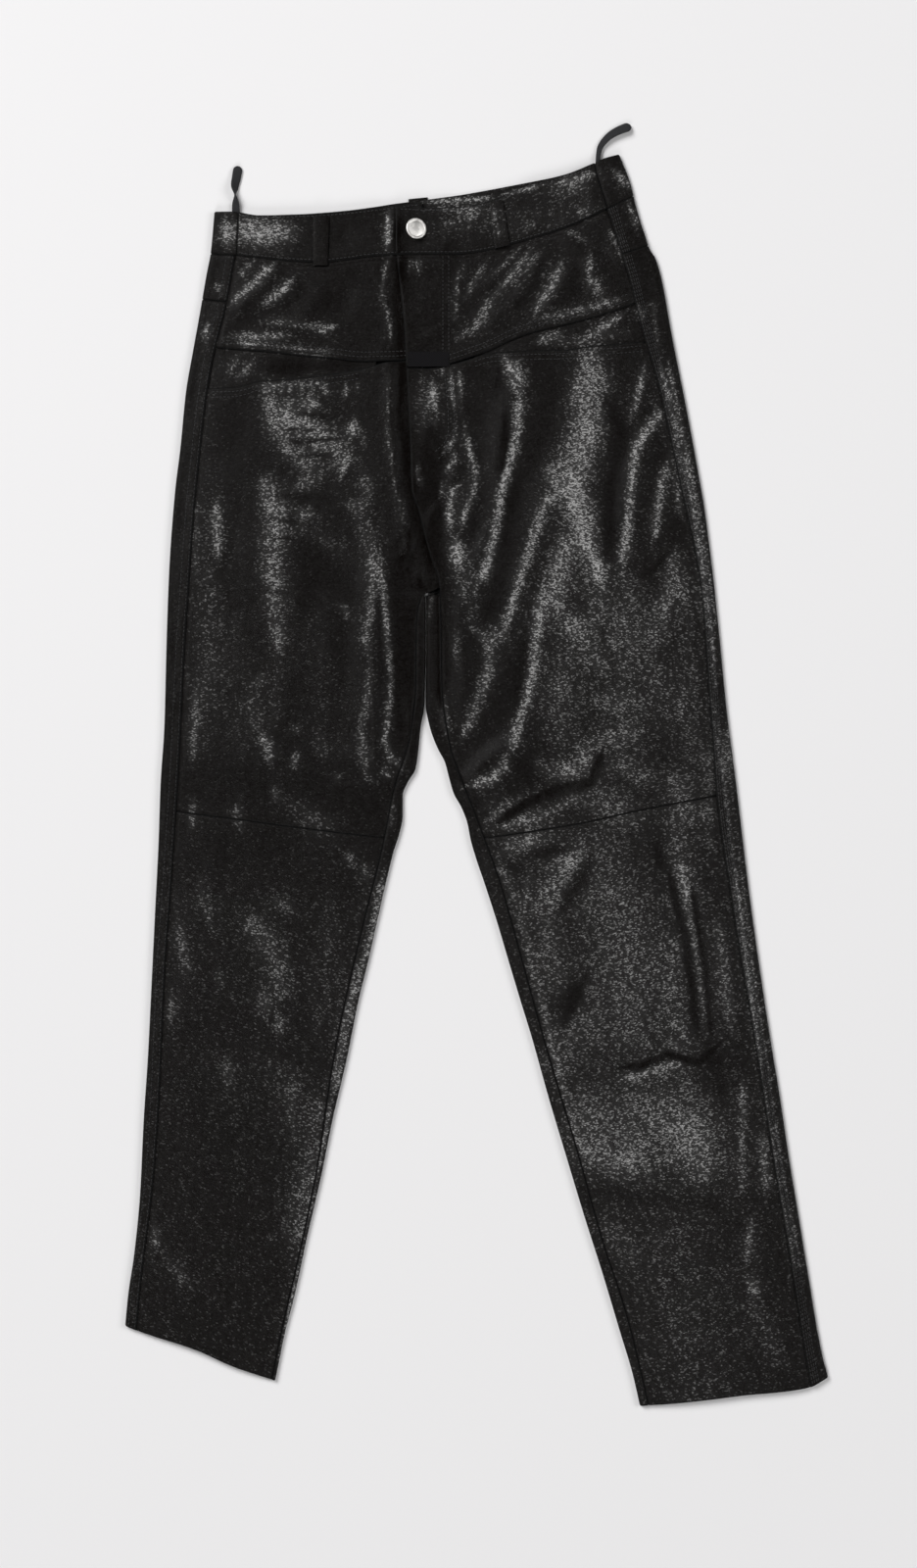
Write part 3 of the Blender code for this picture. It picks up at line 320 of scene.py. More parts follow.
# Topstitching, in from the edge.
SIDE_ROWS, LEFT_EXTRA_ROWS, YOKE_ROWS, LIP_ROWS = (1.6, 7.0), (3.5, 5.3), (4.0, 8.2), (3.3, 7.4)
BAND_ROW = 2.0
SIDE_ROW_SPAN, BAND_ROW_SPAN = (0.002, 0.998), (0.02, 0.98)  # shares of the edge that are sewn
YOKE_ROW_SPAN, LIP_ROW_SPAN = (0.03, 0.97), (0.03, 0.72)
SIDE_ROW_POINTS = 700
LEG_PATH, BAND_PATH = (10, 6, 26, 8), (9, 6, 60, 9)  # cells on strip, fold, surface, inner strip
FLY_TOPSTITCH: list[Rows] = [
    [(-23.4, 424), (-23.4, 345), (-21.0, 318), (-19.0, 294), (-18.5, 278), (-21.0, 266), (-32.4, 254)],
    [(-28.3, 424), (-28.3, 345), (-26.0, 318), (-24.0, 294), (-23.6, 278), (-26.4, 269), (-35.0, 260)],
]

# The second field holds painted sheen and highlights for the leather's colour, and painted shade where it
# is below 0; the next height is as low as it is painted.
CLOTH_UV, PAINTED_SHEEN_FIELD, LINING = "cloth", "painted_sheen", "lining"
PAINTED_SHEEN_FLOOR = 0.9

# Right to left, top to bottom: corners of what is sewn on.
RIGHT_LOOP = [(-136.5, 457), (-123.4, 457), (-136.5, 415.7), (-124.6, 415.7)]
LEFT_LOOP = [(10.5, 468), (21.7, 470.5), (15.2, 430), (27.5, 433)]
BACK_LOOP = [(-57.0, 472.0), (-41.0, 473.6), (-57.0, 429), (-41.0, 429)]
BACK_LOOP_LIFT, BACK_LOOP_MARGIN, BACK_LOOP_EASE = 1.4, 12.0, 14.0
LABEL_TAB = [(-58.2, 343.6), (-23.4, 343.6), (-57.2, 331.3), (-23.4, 331.3)]
POCKET_UNDERLAP, FACING_TOP_LAP = 10.0, 6.0
RIGHT_FACING_END, LEFT_FACING_END = -84.0, -2.0
BUTTON_LAP, BUTTON_LAP_DROP = 22.0, 2.0
BUTTON_PLACE = (-51.2, 445.7)
BUTTON_TILT = BUTTON_HEADING = math.radians(20)

# Hanger tapes: centre x, y, lowest height, width, twist in degrees.
RIGHT_HANGER: Rows = [
    (-201.3, 447, 1.6, 6.5, 0), (-201.3, 458, 1.6, 6.5, 0), (-201.5, 467, 0.9, 6.5, 25),
    (-201.9, 474.5, 0.4, 6.8, 82), (-202.2, 482, 0.4, 7.2, 140), (-200.8, 491, 0.4, 7.6, 170),
    (-199.4, 499.5, 0.4, 7.8, 180),
]
LEFT_HANGER: Rows = [
    (103.5, 490, 1.7, 3.6, 0), (101.2, 501, 1.7, 3.6, 0), (102.6, 513, 0.7, 4.6, 15),
    (108.6, 522.3, 0.4, 6.6, 30), (117.7, 528.5, 0.4, 8.2, 30), (129, 532.9, 0.4, 9.0, 25),
]

# Painted sheen, highlights painted into the leather's colour: half width, amount, and x, y, x, y... of the
# line that it follows.
PAINTED_SHEEN_STREAKS: Rows = [
    # Waistband
    (3.3, 0.7, 62, 483, 105, 494), (1.6, 0.7, 13, 463, 16, 453), (1.2, 0.5, 17, 452, 19, 437),
    (2.5, 0.5, -25, 453, -17, 449), (10.7, 0.6, -199, 444, -181, 444), (9.8, 0.4, -181, 444, -156, 444),
    (5.7, 0.3, 57, 476, 93, 481), (4.9, 0.7, -210, 455, -208, 430), (8.2, 0.45, -190, 445, -161, 442),
    (2, 0.7, -73, 462, -75, 429), (2, 0.8, -46, 469, 19, 473), (2, 0.8, 16, 474, 59, 484),
    (2.5, 0.45, -41, 463, 11, 463), (11.5, 0.15, -38, 445, 93, 463), (4.1, 0.5, -14, 458, 3, 457),
    (2.5, 0.35, 41, 453, 48, 444), (4.1, 0.35, 82, 457, 96, 463), (3.3, 0.6, 111, 498, 131, 478),
    (2.5, 0.55, 126, 471, 136, 444),
    # Right yoke
    (3.3, 0.7, -164, 422, -184, 404, -209, 380), (2.5, 0.45, -184, 422, -202, 403),
    (3.7, 0.7, -150, 408, -164, 393, -182, 380), (3.3, 0.35, -182, 369, -153, 367, -117, 363),
    (3.7, 0.55, -209, 357, -184, 356, -153, 357), (3.3, 0.55, -135, 360, -116, 366),
    (1.2, 0.7, -205, 351, -176, 349), (1.2, 0.5, -176, 349, -145, 346, -115, 343),
    (0.8, 0.35, -161, 343, -115, 339), (3.3, 0.45, -184, 340, -200, 319),
    (3.3, 0.4, -197, 344, -210, 322), (2, 0.65, -217, 403, -215, 393), (2.5, 0.8, -225, 370, -227, 350),
    # Right thigh
    (7.4, 0.16, -167, 98, -169, 32), (11.5, 0.1, -225, 327, -227, 253), (18, 0.12, -225, 229, -228, 16),
    (9.8, 0.12, -223, 155, -225, 48), (1.2, 0.4, -181, 315, -153, 317, -135, 317, -120, 320),
    (0.8, 0.3, -179, 320, -153, 321, -124, 322), (7.4, 0.5, -176, 314, -169, 286, -159, 263),
    (12.3, 0.6, -156, 291, -138, 278, -118, 262), (5.7, 0.6, -146, 304, -132, 299),
    (9, 0.4, -153, 260, -135, 244), (3.7, 0.45, -173, 285, -128, 282), (2, 0.6, -176, 319, -175, 308),
    (2, 0.4, -169, 319, -169, 309), (2, 0.3, -162, 319, -163, 308), (2, 0.5, -155, 319, -156, 308),
    (2, 0.3, -146, 319, -147, 308), (2, 0.4, -137, 319, -138, 308), (2, 0.6, -127, 319, -125, 304),
    (2, 0.55, -109, 319, -110, 303), (2, 0.3, -101, 321, -99, 309),
    (2.9, 0.6, -107, 263, -110, 250, -115, 234), (4.5, 0.75, -101, 288, -106, 270),
    (2, 0.3, -96, 278, -93, 260), (6.6, 0.35, -95, 244, -91, 222),
    (9.8, 0.6, -176, 232, -169, 211, -166, 189), (5.7, 0.4, -153, 229, -133, 237),
    (4.9, 0.4, -155, 212, -133, 206), (9.8, 0.5, -173, 183, -169, 150, -168, 129),
    (6.6, 0.45, -170, 119, -166, 106, -164, 94), (4.1, 0.3, -182, 78, -179, 63),
    (8.2, 0.2, -188, 60, -184, 30), (4.5, 0.55, -181, 29, -174, 12, -172, -4),
    (4.5, 0.55, -216, 224, -217, 196, -215, 168), (2.5, 0.25, -219, 147, -218, 137),
    (3.7, 0.3, -112, 216, -92, 216), (9, 0.3, -97, 214, -92, 194, -88, 178),
    (4.1, 0.5, -88, 180, -87, 147, -90, 122, -93, 107, -89, 86),
    (3.3, 0.4, -88, 88, -91, 61, -93, 45, -97, 27, -95, 7, -92, -11, -82, -19),
    (2.5, 0.6, -82, 181, -79, 147, -75, 114, -72, 78, -72, 55, -75, 32, -77, 19, -71, 4, -59, -7),
    (4.1, 0.35, -82, -2, -69, -14), (2.5, 0.4, -118, 135, -110, 129, -105, 116),
    (3.7, 0.3, -155, 34, -146, 24), (3.3, 0.45, -150, 12, -154, -7), (3.3, 0.3, -170, -16, -165, -37),
    (3.3, 0.25, -118, -16, -113, -7), (5.7, 0.2, -133, 29, -128, 2), (3.3, 0.35, -233, 70, -238, -4),
    (2.5, 0.2, -235, 229, -234, 147), (10.7, 0.2, -148, 196, -114, 178),
    (19.7, 0.1, -137, 114, -118, 24), (14.8, 0.1, -205, 114, -194, 7),
    # Right knee
    (4.9, 0.3, -197, -30, -202, -43, -196, -57), (9.8, 0.25, -153, -37, -125, -55),
    (3.7, 0.35, -110, -73, -101, -89), (3.3, 0.3, -96, -81, -91, -101),
    (4.1, 0.35, -238, -27, -237, -60), (2.5, 0.25, -70, -27, -71, -58),
    # Right shin
    (4.9, 0.25, -174, -112, -150, -124), (6.6, 0.25, -194, -140, -184, -129),
    (9.8, 0.3, -184, -135, -174, -150, -164, -175, -161, -191), (6.6, 0.3, -176, -188, -178, -212),
    (4.1, 0.35, -166, -206, -163, -229), (4.9, 0.3, -250, -124, -246, -150, -241, -184),
    (2.9, 0.35, -255, -188, -255, -219), (6.6, 0.2, -232, -98, -220, -139),
    (3.3, 0.25, -216, -168, -212, -189), (5.7, 0.3, -209, -245, -207, -273),
    (16.4, 0.1, -173, -257, -151, -275), (6.6, 0.2, -156, -263, -155, -314),
    (4.1, 0.5, -77, -89, -83, -124, -91, -157, -102, -189, -110, -222, -116, -257, -121, -281),
    (2, 0.5, -121, -281, -128, -317, -136, -348, -145, -394, -154, -444, -166, -509),
    (11.5, 0.25, -132, -288, -153, -394), (2.9, 0.4, -270, -381, -267, -409),
    (4.5, 0.25, -263, -408, -251, -424, -237, -440), (14.8, 0.1, -120, -140, -128, -214),
    # Fly
    (1.6, 0.8, -76, 460, -73, 444, -75, 429),
    (1.2, 0.6, -73, 424, -77, 413, -79, 397, -78, 385, -74, 375, -72, 364, -71, 347),
    (1.2, 0.4, -73, 329, -74, 311, -75, 278, -71, 253, -68, 229, -62, 211, -62, 192),
    (1.6, 0.3, -48, 424, -48, 406), (1.6, 0.4, -56, 424, -56, 406), (5.7, 0.12, -55, 417, -45, 416),
    (2.9, 0.85, -37, 324, -36, 311, -37, 301, -32, 289), (1.6, 0.8, -22, 330, -21, 311, -17, 291),
    (1.6, 0.65, -15, 330, -12, 303), (8.2, 0.2, -48, 319, -41, 270),
    (2.5, 0.55, -33, 291, -38, 270, -43, 252), (1.2, 0.6, -27, 334, -29, 322),
    (2, 0.5, -17, 286, -19, 270, -26, 262, -32, 255), (2, 0.6, -18, 262, -19, 252, -29, 240),
    (1.6, 0.8, -29, 240, -30, 226, -37, 214, -42, 196, -41, 186), (1.6, 0.7, -49, 253, -50, 229),
    (1.6, 0.7, -44, 242, -44, 227), (2, 0.7, -10, 281, -6, 262, -1, 242, -2, 227, -10, 209, -14, 192),
    (2.9, 0.75, -11, 237, -20, 227, -23, 208, -22, 189), (4.9, 0.85, -18, 189, -15, 162),
    (1.6, 0.3, -55, 189, -60, 178), (1.6, 0.3, -49, 162, -48, 158),
    (1.6, 0.3, -35, 147, -38, 132, -41, 114),
    # Left yoke
    (11.5, 0.15, 60, 417, 11, 364), (0.8, 0.55, -15, 416, -17, 380, -19, 364),
    (3.3, 0.25, -9, 422, -14, 404), (2.5, 0.4, 11, 424, -12, 385),
    (2.5, 0.55, 49, 434, 32, 411, 16, 393), (2, 0.35, 40, 434, 11, 404), (3.7, 0.55, 16, 393, -7, 356),
    (2, 0.35, 57, 430, 27, 399), (3.7, 0.6, 72, 422, 63, 399, 46, 371),
    (1.6, 0.45, 68, 445, 83, 442, 95, 432), (2.5, 0.65, 95, 430, 93, 393),
    (3.7, 0.55, 95, 408, 106, 386), (2, 0.5, 109, 452, 123, 416),
    (3.3, 0.45, 48, 370, 85, 378, 126, 390), (2.5, 0.4, -18, 351, -4, 365),
    (3.3, 0.55, 48, 352, 73, 360), (4.9, 0.2, 57, 350, 136, 362), (2.5, 0.8, 91, 355, 126, 378),
    (2, 0.5, 134, 386, 139, 367),
    # Left thigh
    (10.7, 0.25, 97, 155, 100, 126), (5.7, 0.25, 165, 286, 169, 212), (6.6, 0.22, 193, 16, 195, -83),
    (8.2, 0.15, 167, -239, 171, -280),
    (1.2, 0.4, 153, 342, 165, 280, 178, 229, 188, 171, 196, 114, 200, 52),
    (1.2, 0.35, 159, 342, 171, 280, 182, 229, 193, 171, 200, 114),
    (1.2, 0.5, 146, 388, 150, 360, 154, 342), (3.3, 0.25, 159, 334, 170, 280, 182, 229),
    (3.3, 0.2, 182, 229, 190, 165, 200, 65), (2, 0.4, 152, 339, 164, 286),
    (6.6, 0.75, 23, 339, 33, 326, 36, 309),
    (4.1, 0.8, 36, 312, 34, 286, 31, 265, 26, 244, 20, 222, 18, 203, 13, 183, 8, 163, -2, 144),
    (9, 0.25, -17, 175, -9, 144, -4, 122), (2.5, 0.35, -18, 117, -16, 73),
    (5.7, 0.35, 11, 114, 26, 104), (4.9, 0.5, -4, 112, 11, 101, 10, 78, 2, 55, -8, 30, -14, 17),
    (3.3, 0.4, -28, 65, -26, 40, -23, 17),
    (4.1, 0.7, 72, 229, 57, 217, 50, 196, 44, 178, 37, 158, 32, 140, 26, 121, 21, 107),
    (13.9, 0.6, 95, 337, 97, 311, 92, 283), (4.9, 0.4, 87, 324, 80, 301),
    (15.6, 0.65, 92, 278, 84, 253, 75, 234), (11.5, 0.75, 80, 229, 87, 204, 91, 186),
    (6.6, 0.45, 57, 248, 73, 230), (4.9, 0.8, 92, 184, 100, 163, 107, 144),
    (11.5, 0.6, 73, 183, 68, 155, 63, 135),
    (4.5, 0.7, 55, 148, 51, 114, 48, 88, 44, 63, 36, 39, 32, 19, 23, -2, 11, -14, -12, -20),
    (12.3, 0.45, 75, 119, 88, 104), (16.4, 0.3, 73, 84, 68, 29), (8.2, 0.25, 93, 91, 103, 80),
    (2.9, 0.6, 141, 339, 138, 319, 132, 299), (2.5, 0.4, 136, 312, 126, 280),
    (4.5, 0.7, 147, 301, 152, 291, 142, 278, 134, 265, 130, 244, 128, 224, 126, 201, 123, 178, 122,
     158),
    (3.7, 0.6, 161, 257, 155, 237, 152, 212, 149, 191, 146, 181), (2.5, 0.3, 166, 239, 172, 199),
    (10.7, 0.4, 164, 170, 165, 147, 155, 125, 149, 107), (10.7, 0.2, 175, 147, 180, 61),
    (14.8, 0.25, 126, 148, 126, 102), (20.5, 0.2, 142, 81, 169, 47), (24.6, 0.12, 109, 114, 136, 39),
    (16.4, 0.2, 175, 40, 185, -4), (2.5, 0.3, 175, 253, 185, 180, 191, 114),
    (9.8, 0.3, 103, 52, 128, 48), (9.8, 0.35, 98, 17, 129, 25), (4.9, 0.5, 83, 14, 95, -4),
    (4.9, 0.5, 70, -12, 82, 1), (9.8, 0.3, 54, -4, 88, -9), (49.2, 0.08, 111, 147, 119, -42),
    (4.1, 0.35, 209, 42, 213, -11), (3.3, 0.25, 195, 65, 208, -17),
    # Left knee
    (3.3, 0.4, 6, -53, 23, -35, 49, -27, 54, -16), (3.7, 0.4, 11, -55, 36, -49, 62, -40, 95, -24),
    (10.7, 0.2, 15, -43, 60, -52), (13.1, 0.35, 103, -30, 128, -43), (13.1, 0.35, 167, -16, 177, -43),
    (11.5, 0.3, 123, -1, 142, -11), (7.4, 0.25, 19, -75, 49, -66), (8.2, 0.3, 60, -88, 87, -75),
    (6.6, 0.3, 62, -99, 48, -125),
    # Left shin
    (13.1, 0.25, 167, -50, 175, -132),
    (1.2, 0.4, 204, 7, 213, -65, 226, -172, 238, -258, 251, -344, 268, -430),
    (0.8, 0.3, 210, 7, 219, -65, 231, -172, 244, -258, 256, -344, 273, -430),
    (32.8, 0.3, 98, -83, 119, -132, 128, -222), (13.1, 0.25, 57, -140, 65, -181),
    (18, 0.25, 93, -214, 68, -247), (16.4, 0.25, 165, -157, 169, -230),
    (3.3, 0.45, 169, -76, 178, -124, 187, -173, 193, -224), (5.7, 0.3, 200, -124, 213, -227),
    (3.3, 0.3, 214, -83, 237, -247), (3.3, 0.3, 16, -75, 36, -124, 60, -222, 87, -332),
    (7.4, 0.3, 26, -65, 60, -63), (4.1, 0.3, 44, -86, 39, -125), (7.4, 0.3, 78, -81, 57, -127),
    (2.9, 0.5, 116, -266, 134, -262, 152, -255, 177, -248), (27.9, 0.35, 113, -296, 175, -296),
    (18, 0.45, 109, -329, 134, -332), (19.7, 0.5, 175, -312, 188, -334),
    (13.1, 0.25, 87, -280, 93, -329), (3.3, 0.4, 222, -260, 222, -363),
    (3.3, 0.4, 239, -304, 242, -363), (2.9, 0.5, 231, -375, 227, -396, 226, -421),
    (4.9, 0.35, 228, -427, 232, -447), (12.3, 0.2, 108, -388, 126, -411),
    (41, 0.15, 159, -386, 183, -526), (9.8, 0.15, 251, -498, 232, -452),
    # Troughs, painted as shade: they dim the painted sheen, and below -1 darken the colour
    (4.1, -1.85, -64, 462, -64, 393, -63, 352, -62, 311, -60, 278, -57, 245, -50, 208, -43, 184, -35,
     155),
    (2, -1.95, -54, 199, -59, 183, -64, 166, -64, 158), (2, -1.95, -49, 158, -46, 148, -43, 142),
    (2.9, -1.9, -31, 155, -30, 106, -31, 48), (5.7, -1.35, -173, 330, -137, 332),
    (3.3, -1.35, -137, 332, -91, 335), (2, -0.7, -156, 293, -114, 287),
    (1.6, -0.6, -166, 280, -128, 277), (2, -0.7, -163, 268, -112, 271),
    (1.6, -0.6, -156, 257, -114, 257), (2, -0.6, -178, 224, -112, 221), (2, -0.6, -179, 204, -143, 201),
    (1.6, -0.6, -179, 189, -145, 186), (1.6, -0.55, -181, 144, -156, 142),
    (2, -0.6, -82, 147, -81, 106, -80, 48), (9, -1.15, -61, 180, -59, 114, -59, 32),
    (7.4, -1.3, -38, 278, -38, 212, -33, 147), (9.8, -0.55, -140, 183, -112, 144),
    (3.3, -1.2, 18, 329, 23, 270, 18, 237), (7.4, -0.85, 34, 237, 21, 147, 6, 121),
    (4.1, -0.6, 41, 114, 31, 32), (7.4, -0.8, 108, 303, 120, 281, 116, 229, 110, 175),
    (9, -0.8, 62, 312, 54, 273, 44, 242), (2.5, -0.75, 132, 153, 149, 163, 161, 178, 165, 184),
    (7.4, -0.6, 21, 14, 50, -14), (3.3, -1.2, 15, -52, 42, -32, 70, -22, 95, -16, 102, -1, 106, 14),
    (4.1, -0.85, 159, -83, 175, -148, 185, -230), (3.3, -0.85, 179, -102, 190, -165, 196, -230),
    (4.1, -0.7, 149, -58, 155, -93),
    (2.5, -1.15, 118, -254, 137, -253, 159, -243, 186, -250, 205, -232),
    (8.2, -0.35, 193, -234, 205, -280), (5.7, -0.8, -34, 130, -30, 48), (3.3, -0.6, -27, 114, -23, 65),
    (7.4, -0.3, 93, -357, 134, -362, 211, -370), (4.1, -0.6, 42, -76, 80, -71),
    (6.6, -0.6, 83, -181, 73, -216), (6.6, -0.6, 98, -76, 73, -120), (4.1, -0.55, 93, -173, 73, -218),
    (5.7, -0.5, 27, 393, 11, 356), (4.1, -0.6, 60, 430, 48, 401, 27, 372),
    (6.6, -0.6, 85, 424, 85, 393),
]


# --- plan shapes -----------------------------------------------------------------------------


def smooth(rows: Rows, at: Array | float) -> Array:
    """Reads a line between its rows without overshooting.

    A Hermite curve runs through the rows; its slope in a row is the harmonic mean of the slopes
    beside it, or level at a peak or a dip.

    Args:
        rows: pairs of station and value, in any order.
        at: stations to read; past the last rows the end values hold.

    Returns:
        The values, shaped like at.
    """
    table = np.array(sorted(rows), float)
    station, value = table[:, 0], table[:, 1]
    steep = np.diff(value) / np.diff(station)
    product, total = steep[:-1] * steep[1:], steep[:-1] + steep[1:]
    rising = product > 0
    mean = np.where(rising, 2 * product / np.where(rising, total, 1), 0)
    slope = np.concatenate([steep[:1], mean, steep[-1:]])
    at = np.clip(at, station[0], station[-1])
    i = np.clip(np.searchsorted(station, at) - 1, 0, len(table) - 2)
    span = station[i + 1] - station[i]
    t = (at - station[i]) / span
    start = (1 + 2 * t) * (1 - t) ** 2 * value[i] + t * (1 - t) ** 2 * span * slope[i]
    end = t * t * (3 - 2 * t) * value[i + 1] - t * t * (1 - t) * span * slope[i + 1]
    return start + end


def ease(t: Array) -> Array:
    """Rises smoothly from 0 at 0 to 1 at 1."""
    t = np.clip(t, 0, 1)
    return t * t * (3 - 2 * t)


def bell(distance: Array, width: float) -> Array:
    """Falls from 1 at no distance to a third at the width."""
    return np.exp(-((distance / width) ** 2))


def across(rows: Rows, x_from: float, x_to: float, rise: float = 0.0) -> Array:
    """Gives points of a line of (x, y) rows, moved towards the waist by the rise."""
    x = np.linspace(x_from, x_to, LINE_POINTS)
    return np.stack([x, smooth(rows, x) + rise], axis=1)


def down(rows: Rows, y_from: float, y_to: float) -> Array:
    """Gives points of a line of (y, x) rows, from one height to another."""
    y = np.linspace(y_from, y_to, LINE_POINTS)
    return np.stack([smooth(rows, y), y], axis=1)


def walk(line: Array) -> Array:
    """Distance along a line to each of its points."""
    return np.concatenate([[0], np.cumsum(np.linalg.norm(np.diff(line, axis=0), axis=1))])


def along(line: Array, t: Array) -> Array:
    """Points of a line at the shares t of its length."""
    walked = walk(line)
    return np.stack([np.interp(t * walked[-1], walked, line[:, k]) for k in (0, 1)], axis=-1)


def swept(rows: Rows, count: int) -> list[Array]:
    """Reads each column of a table at that many even steps from its first row to its last."""
    at = np.linspace(0, len(rows) - 1, count)
    return [smooth(list(enumerate(column)), at) for column in np.array(rows, float).T]


def by_point(line: Array, t: Array) -> Array:
    """Points of a line at the shares t of its number of points."""
    at, points = t * (len(line) - 1), np.arange(len(line))
    return np.stack([np.interp(at, points, line[:, k]) for k in (0, 1)], axis=-1)


def shares(count: int) -> Array:
    """Evenly spaced stops from 0 to 1, with that many cells."""
    return np.linspace(0, 1, count + 1)


def stops(length: float, step: float) -> Array:
    """Spaces the points of a sheet: close together by its edges, then a step apart.

    Args:
        length: how long the sheet is that way.
        step: distance between points away from the edges.

    Returns:
        Shares of the length, from 0 to 1.
    """
    near = np.array(EDGE_STOPS)
    far = length - near[::-1]
    cells = max(2, math.ceil((far[0] - near[-1]) / step))
    return np.concatenate([near[:-1], np.linspace(near[-1], far[0], cells + 1), far[1:]]) / length


@dataclass(frozen=True)
class Patch:
    """Plan of a piece between four lines: a Coons patch, a function of s across and t down."""

    top: Array
    bottom: Array
    left: Array
    right: Array

    def meeting(self, line: Array, t: Array, start: Array, end: Array) -> Array:
        """Points of a line, shifted so that its ends are the patch's corners."""
        slide = (1 - t)[..., None] * (start - line[0]) + t[..., None] * (end - line[-1])
        return along(line, t) + slide

    def place(self, s: Array, t: Array) -> Array:
        """Blends the sides and the ends.

        Args:
            s: shares from the left line to the right one.
            t: shares from the top line to the bottom one.

        Returns:
            Places, x and y.
        """
        corners = [self.left[0], self.right[0], self.left[-1], self.right[-1]]
        a, b = s[..., None], t[..., None]
        sides = (1 - a) * by_point(self.left, t) + a * by_point(self.right, t)
        ends = (1 - b) * self.meeting(self.top, s, corners[0], corners[1])
        ends = ends + b * self.meeting(self.bottom, s, corners[2], corners[3])
        flat = (1 - b) * ((1 - a) * corners[0] + a * corners[1])
        flat = flat + b * ((1 - a) * corners[2] + a * corners[3])
        return sides + ends - flat

    @classmethod
    def quad(cls, corners: list[tuple[float, float]]) -> Patch:
        """Makes a patch with straight sides.

        Args:
            corners: the two at the top and the two at the bottom, each from left to right.

        Returns:
            The patch.
        """
        a, b, c, d = (np.array(corner, float) for corner in corners)
        share = np.linspace(0, 1, LINE_POINTS)[:, None]
        pairs = ((a, b), (c, d), (a, c), (b, d))
        return cls(*((1 - share) * start + share * end for start, end in pairs))


class Plan:
    """Plan of a piece that wraps round two folds: rows run from one end to the other.

    A row has a fold at both ends and the rows are evenly spaced, unless a plan says otherwise.
    """

    seams: tuple[Rows, Rows]

    def ends(self, v: Array) -> tuple[Array, Array]:
        """The first and the last end of the rows at stations v."""
        raise NotImplementedError

    def place(self, u: Array, v: Array) -> Array:
        """Places, x and y, at shares u of the rows at stations v."""
        raise NotImplementedError

    def width(self, v: Array) -> Array:
        """Length of the rows."""
        return np.linalg.norm(np.subtract(*self.ends(v)), axis=-1)

    def closed(self, v: Array) -> Array:
        """1 where a row ends at a fold, and 0 where it ends at the centre-back seam."""
        return np.ones_like(v)

    def spaced(self, start: float, end: float, share: Array) -> Array:
        """Stations at shares of the way from start to end."""
        return start + share * (end - start)

    def insets(self, v: Array) -> list[Array]:
        """Finds how far in from each end of a row it meets the seam beside that end.

        Args:
            v: stations of the rows.

        Returns:
            The two distances for each row.
        """
        ends, found = self.ends(v), []
        for (near, far), seam in zip((ends, ends[::-1]), self.seams):
            reach = far - near
            share = np.zeros(near.shape[:-1])
            for _ in range(CROSSING_ROUNDS):
                y = near[..., 1] + share * reach[..., 1]
                share = (smooth(seam, y) - near[..., 0]) / reach[..., 0]
            found.append(share * np.linalg.norm(reach, axis=-1))
        return found

    def beside(self, v: Array, end: int, reach: float = 0.0) -> Array:
        """Points of the seam beside the rows' first end, 0, or last, 1; or reach past it."""
        share = (self.insets(v)[end] - reach) / self.width(v)
        return self.place(1 - share if end else share, v)


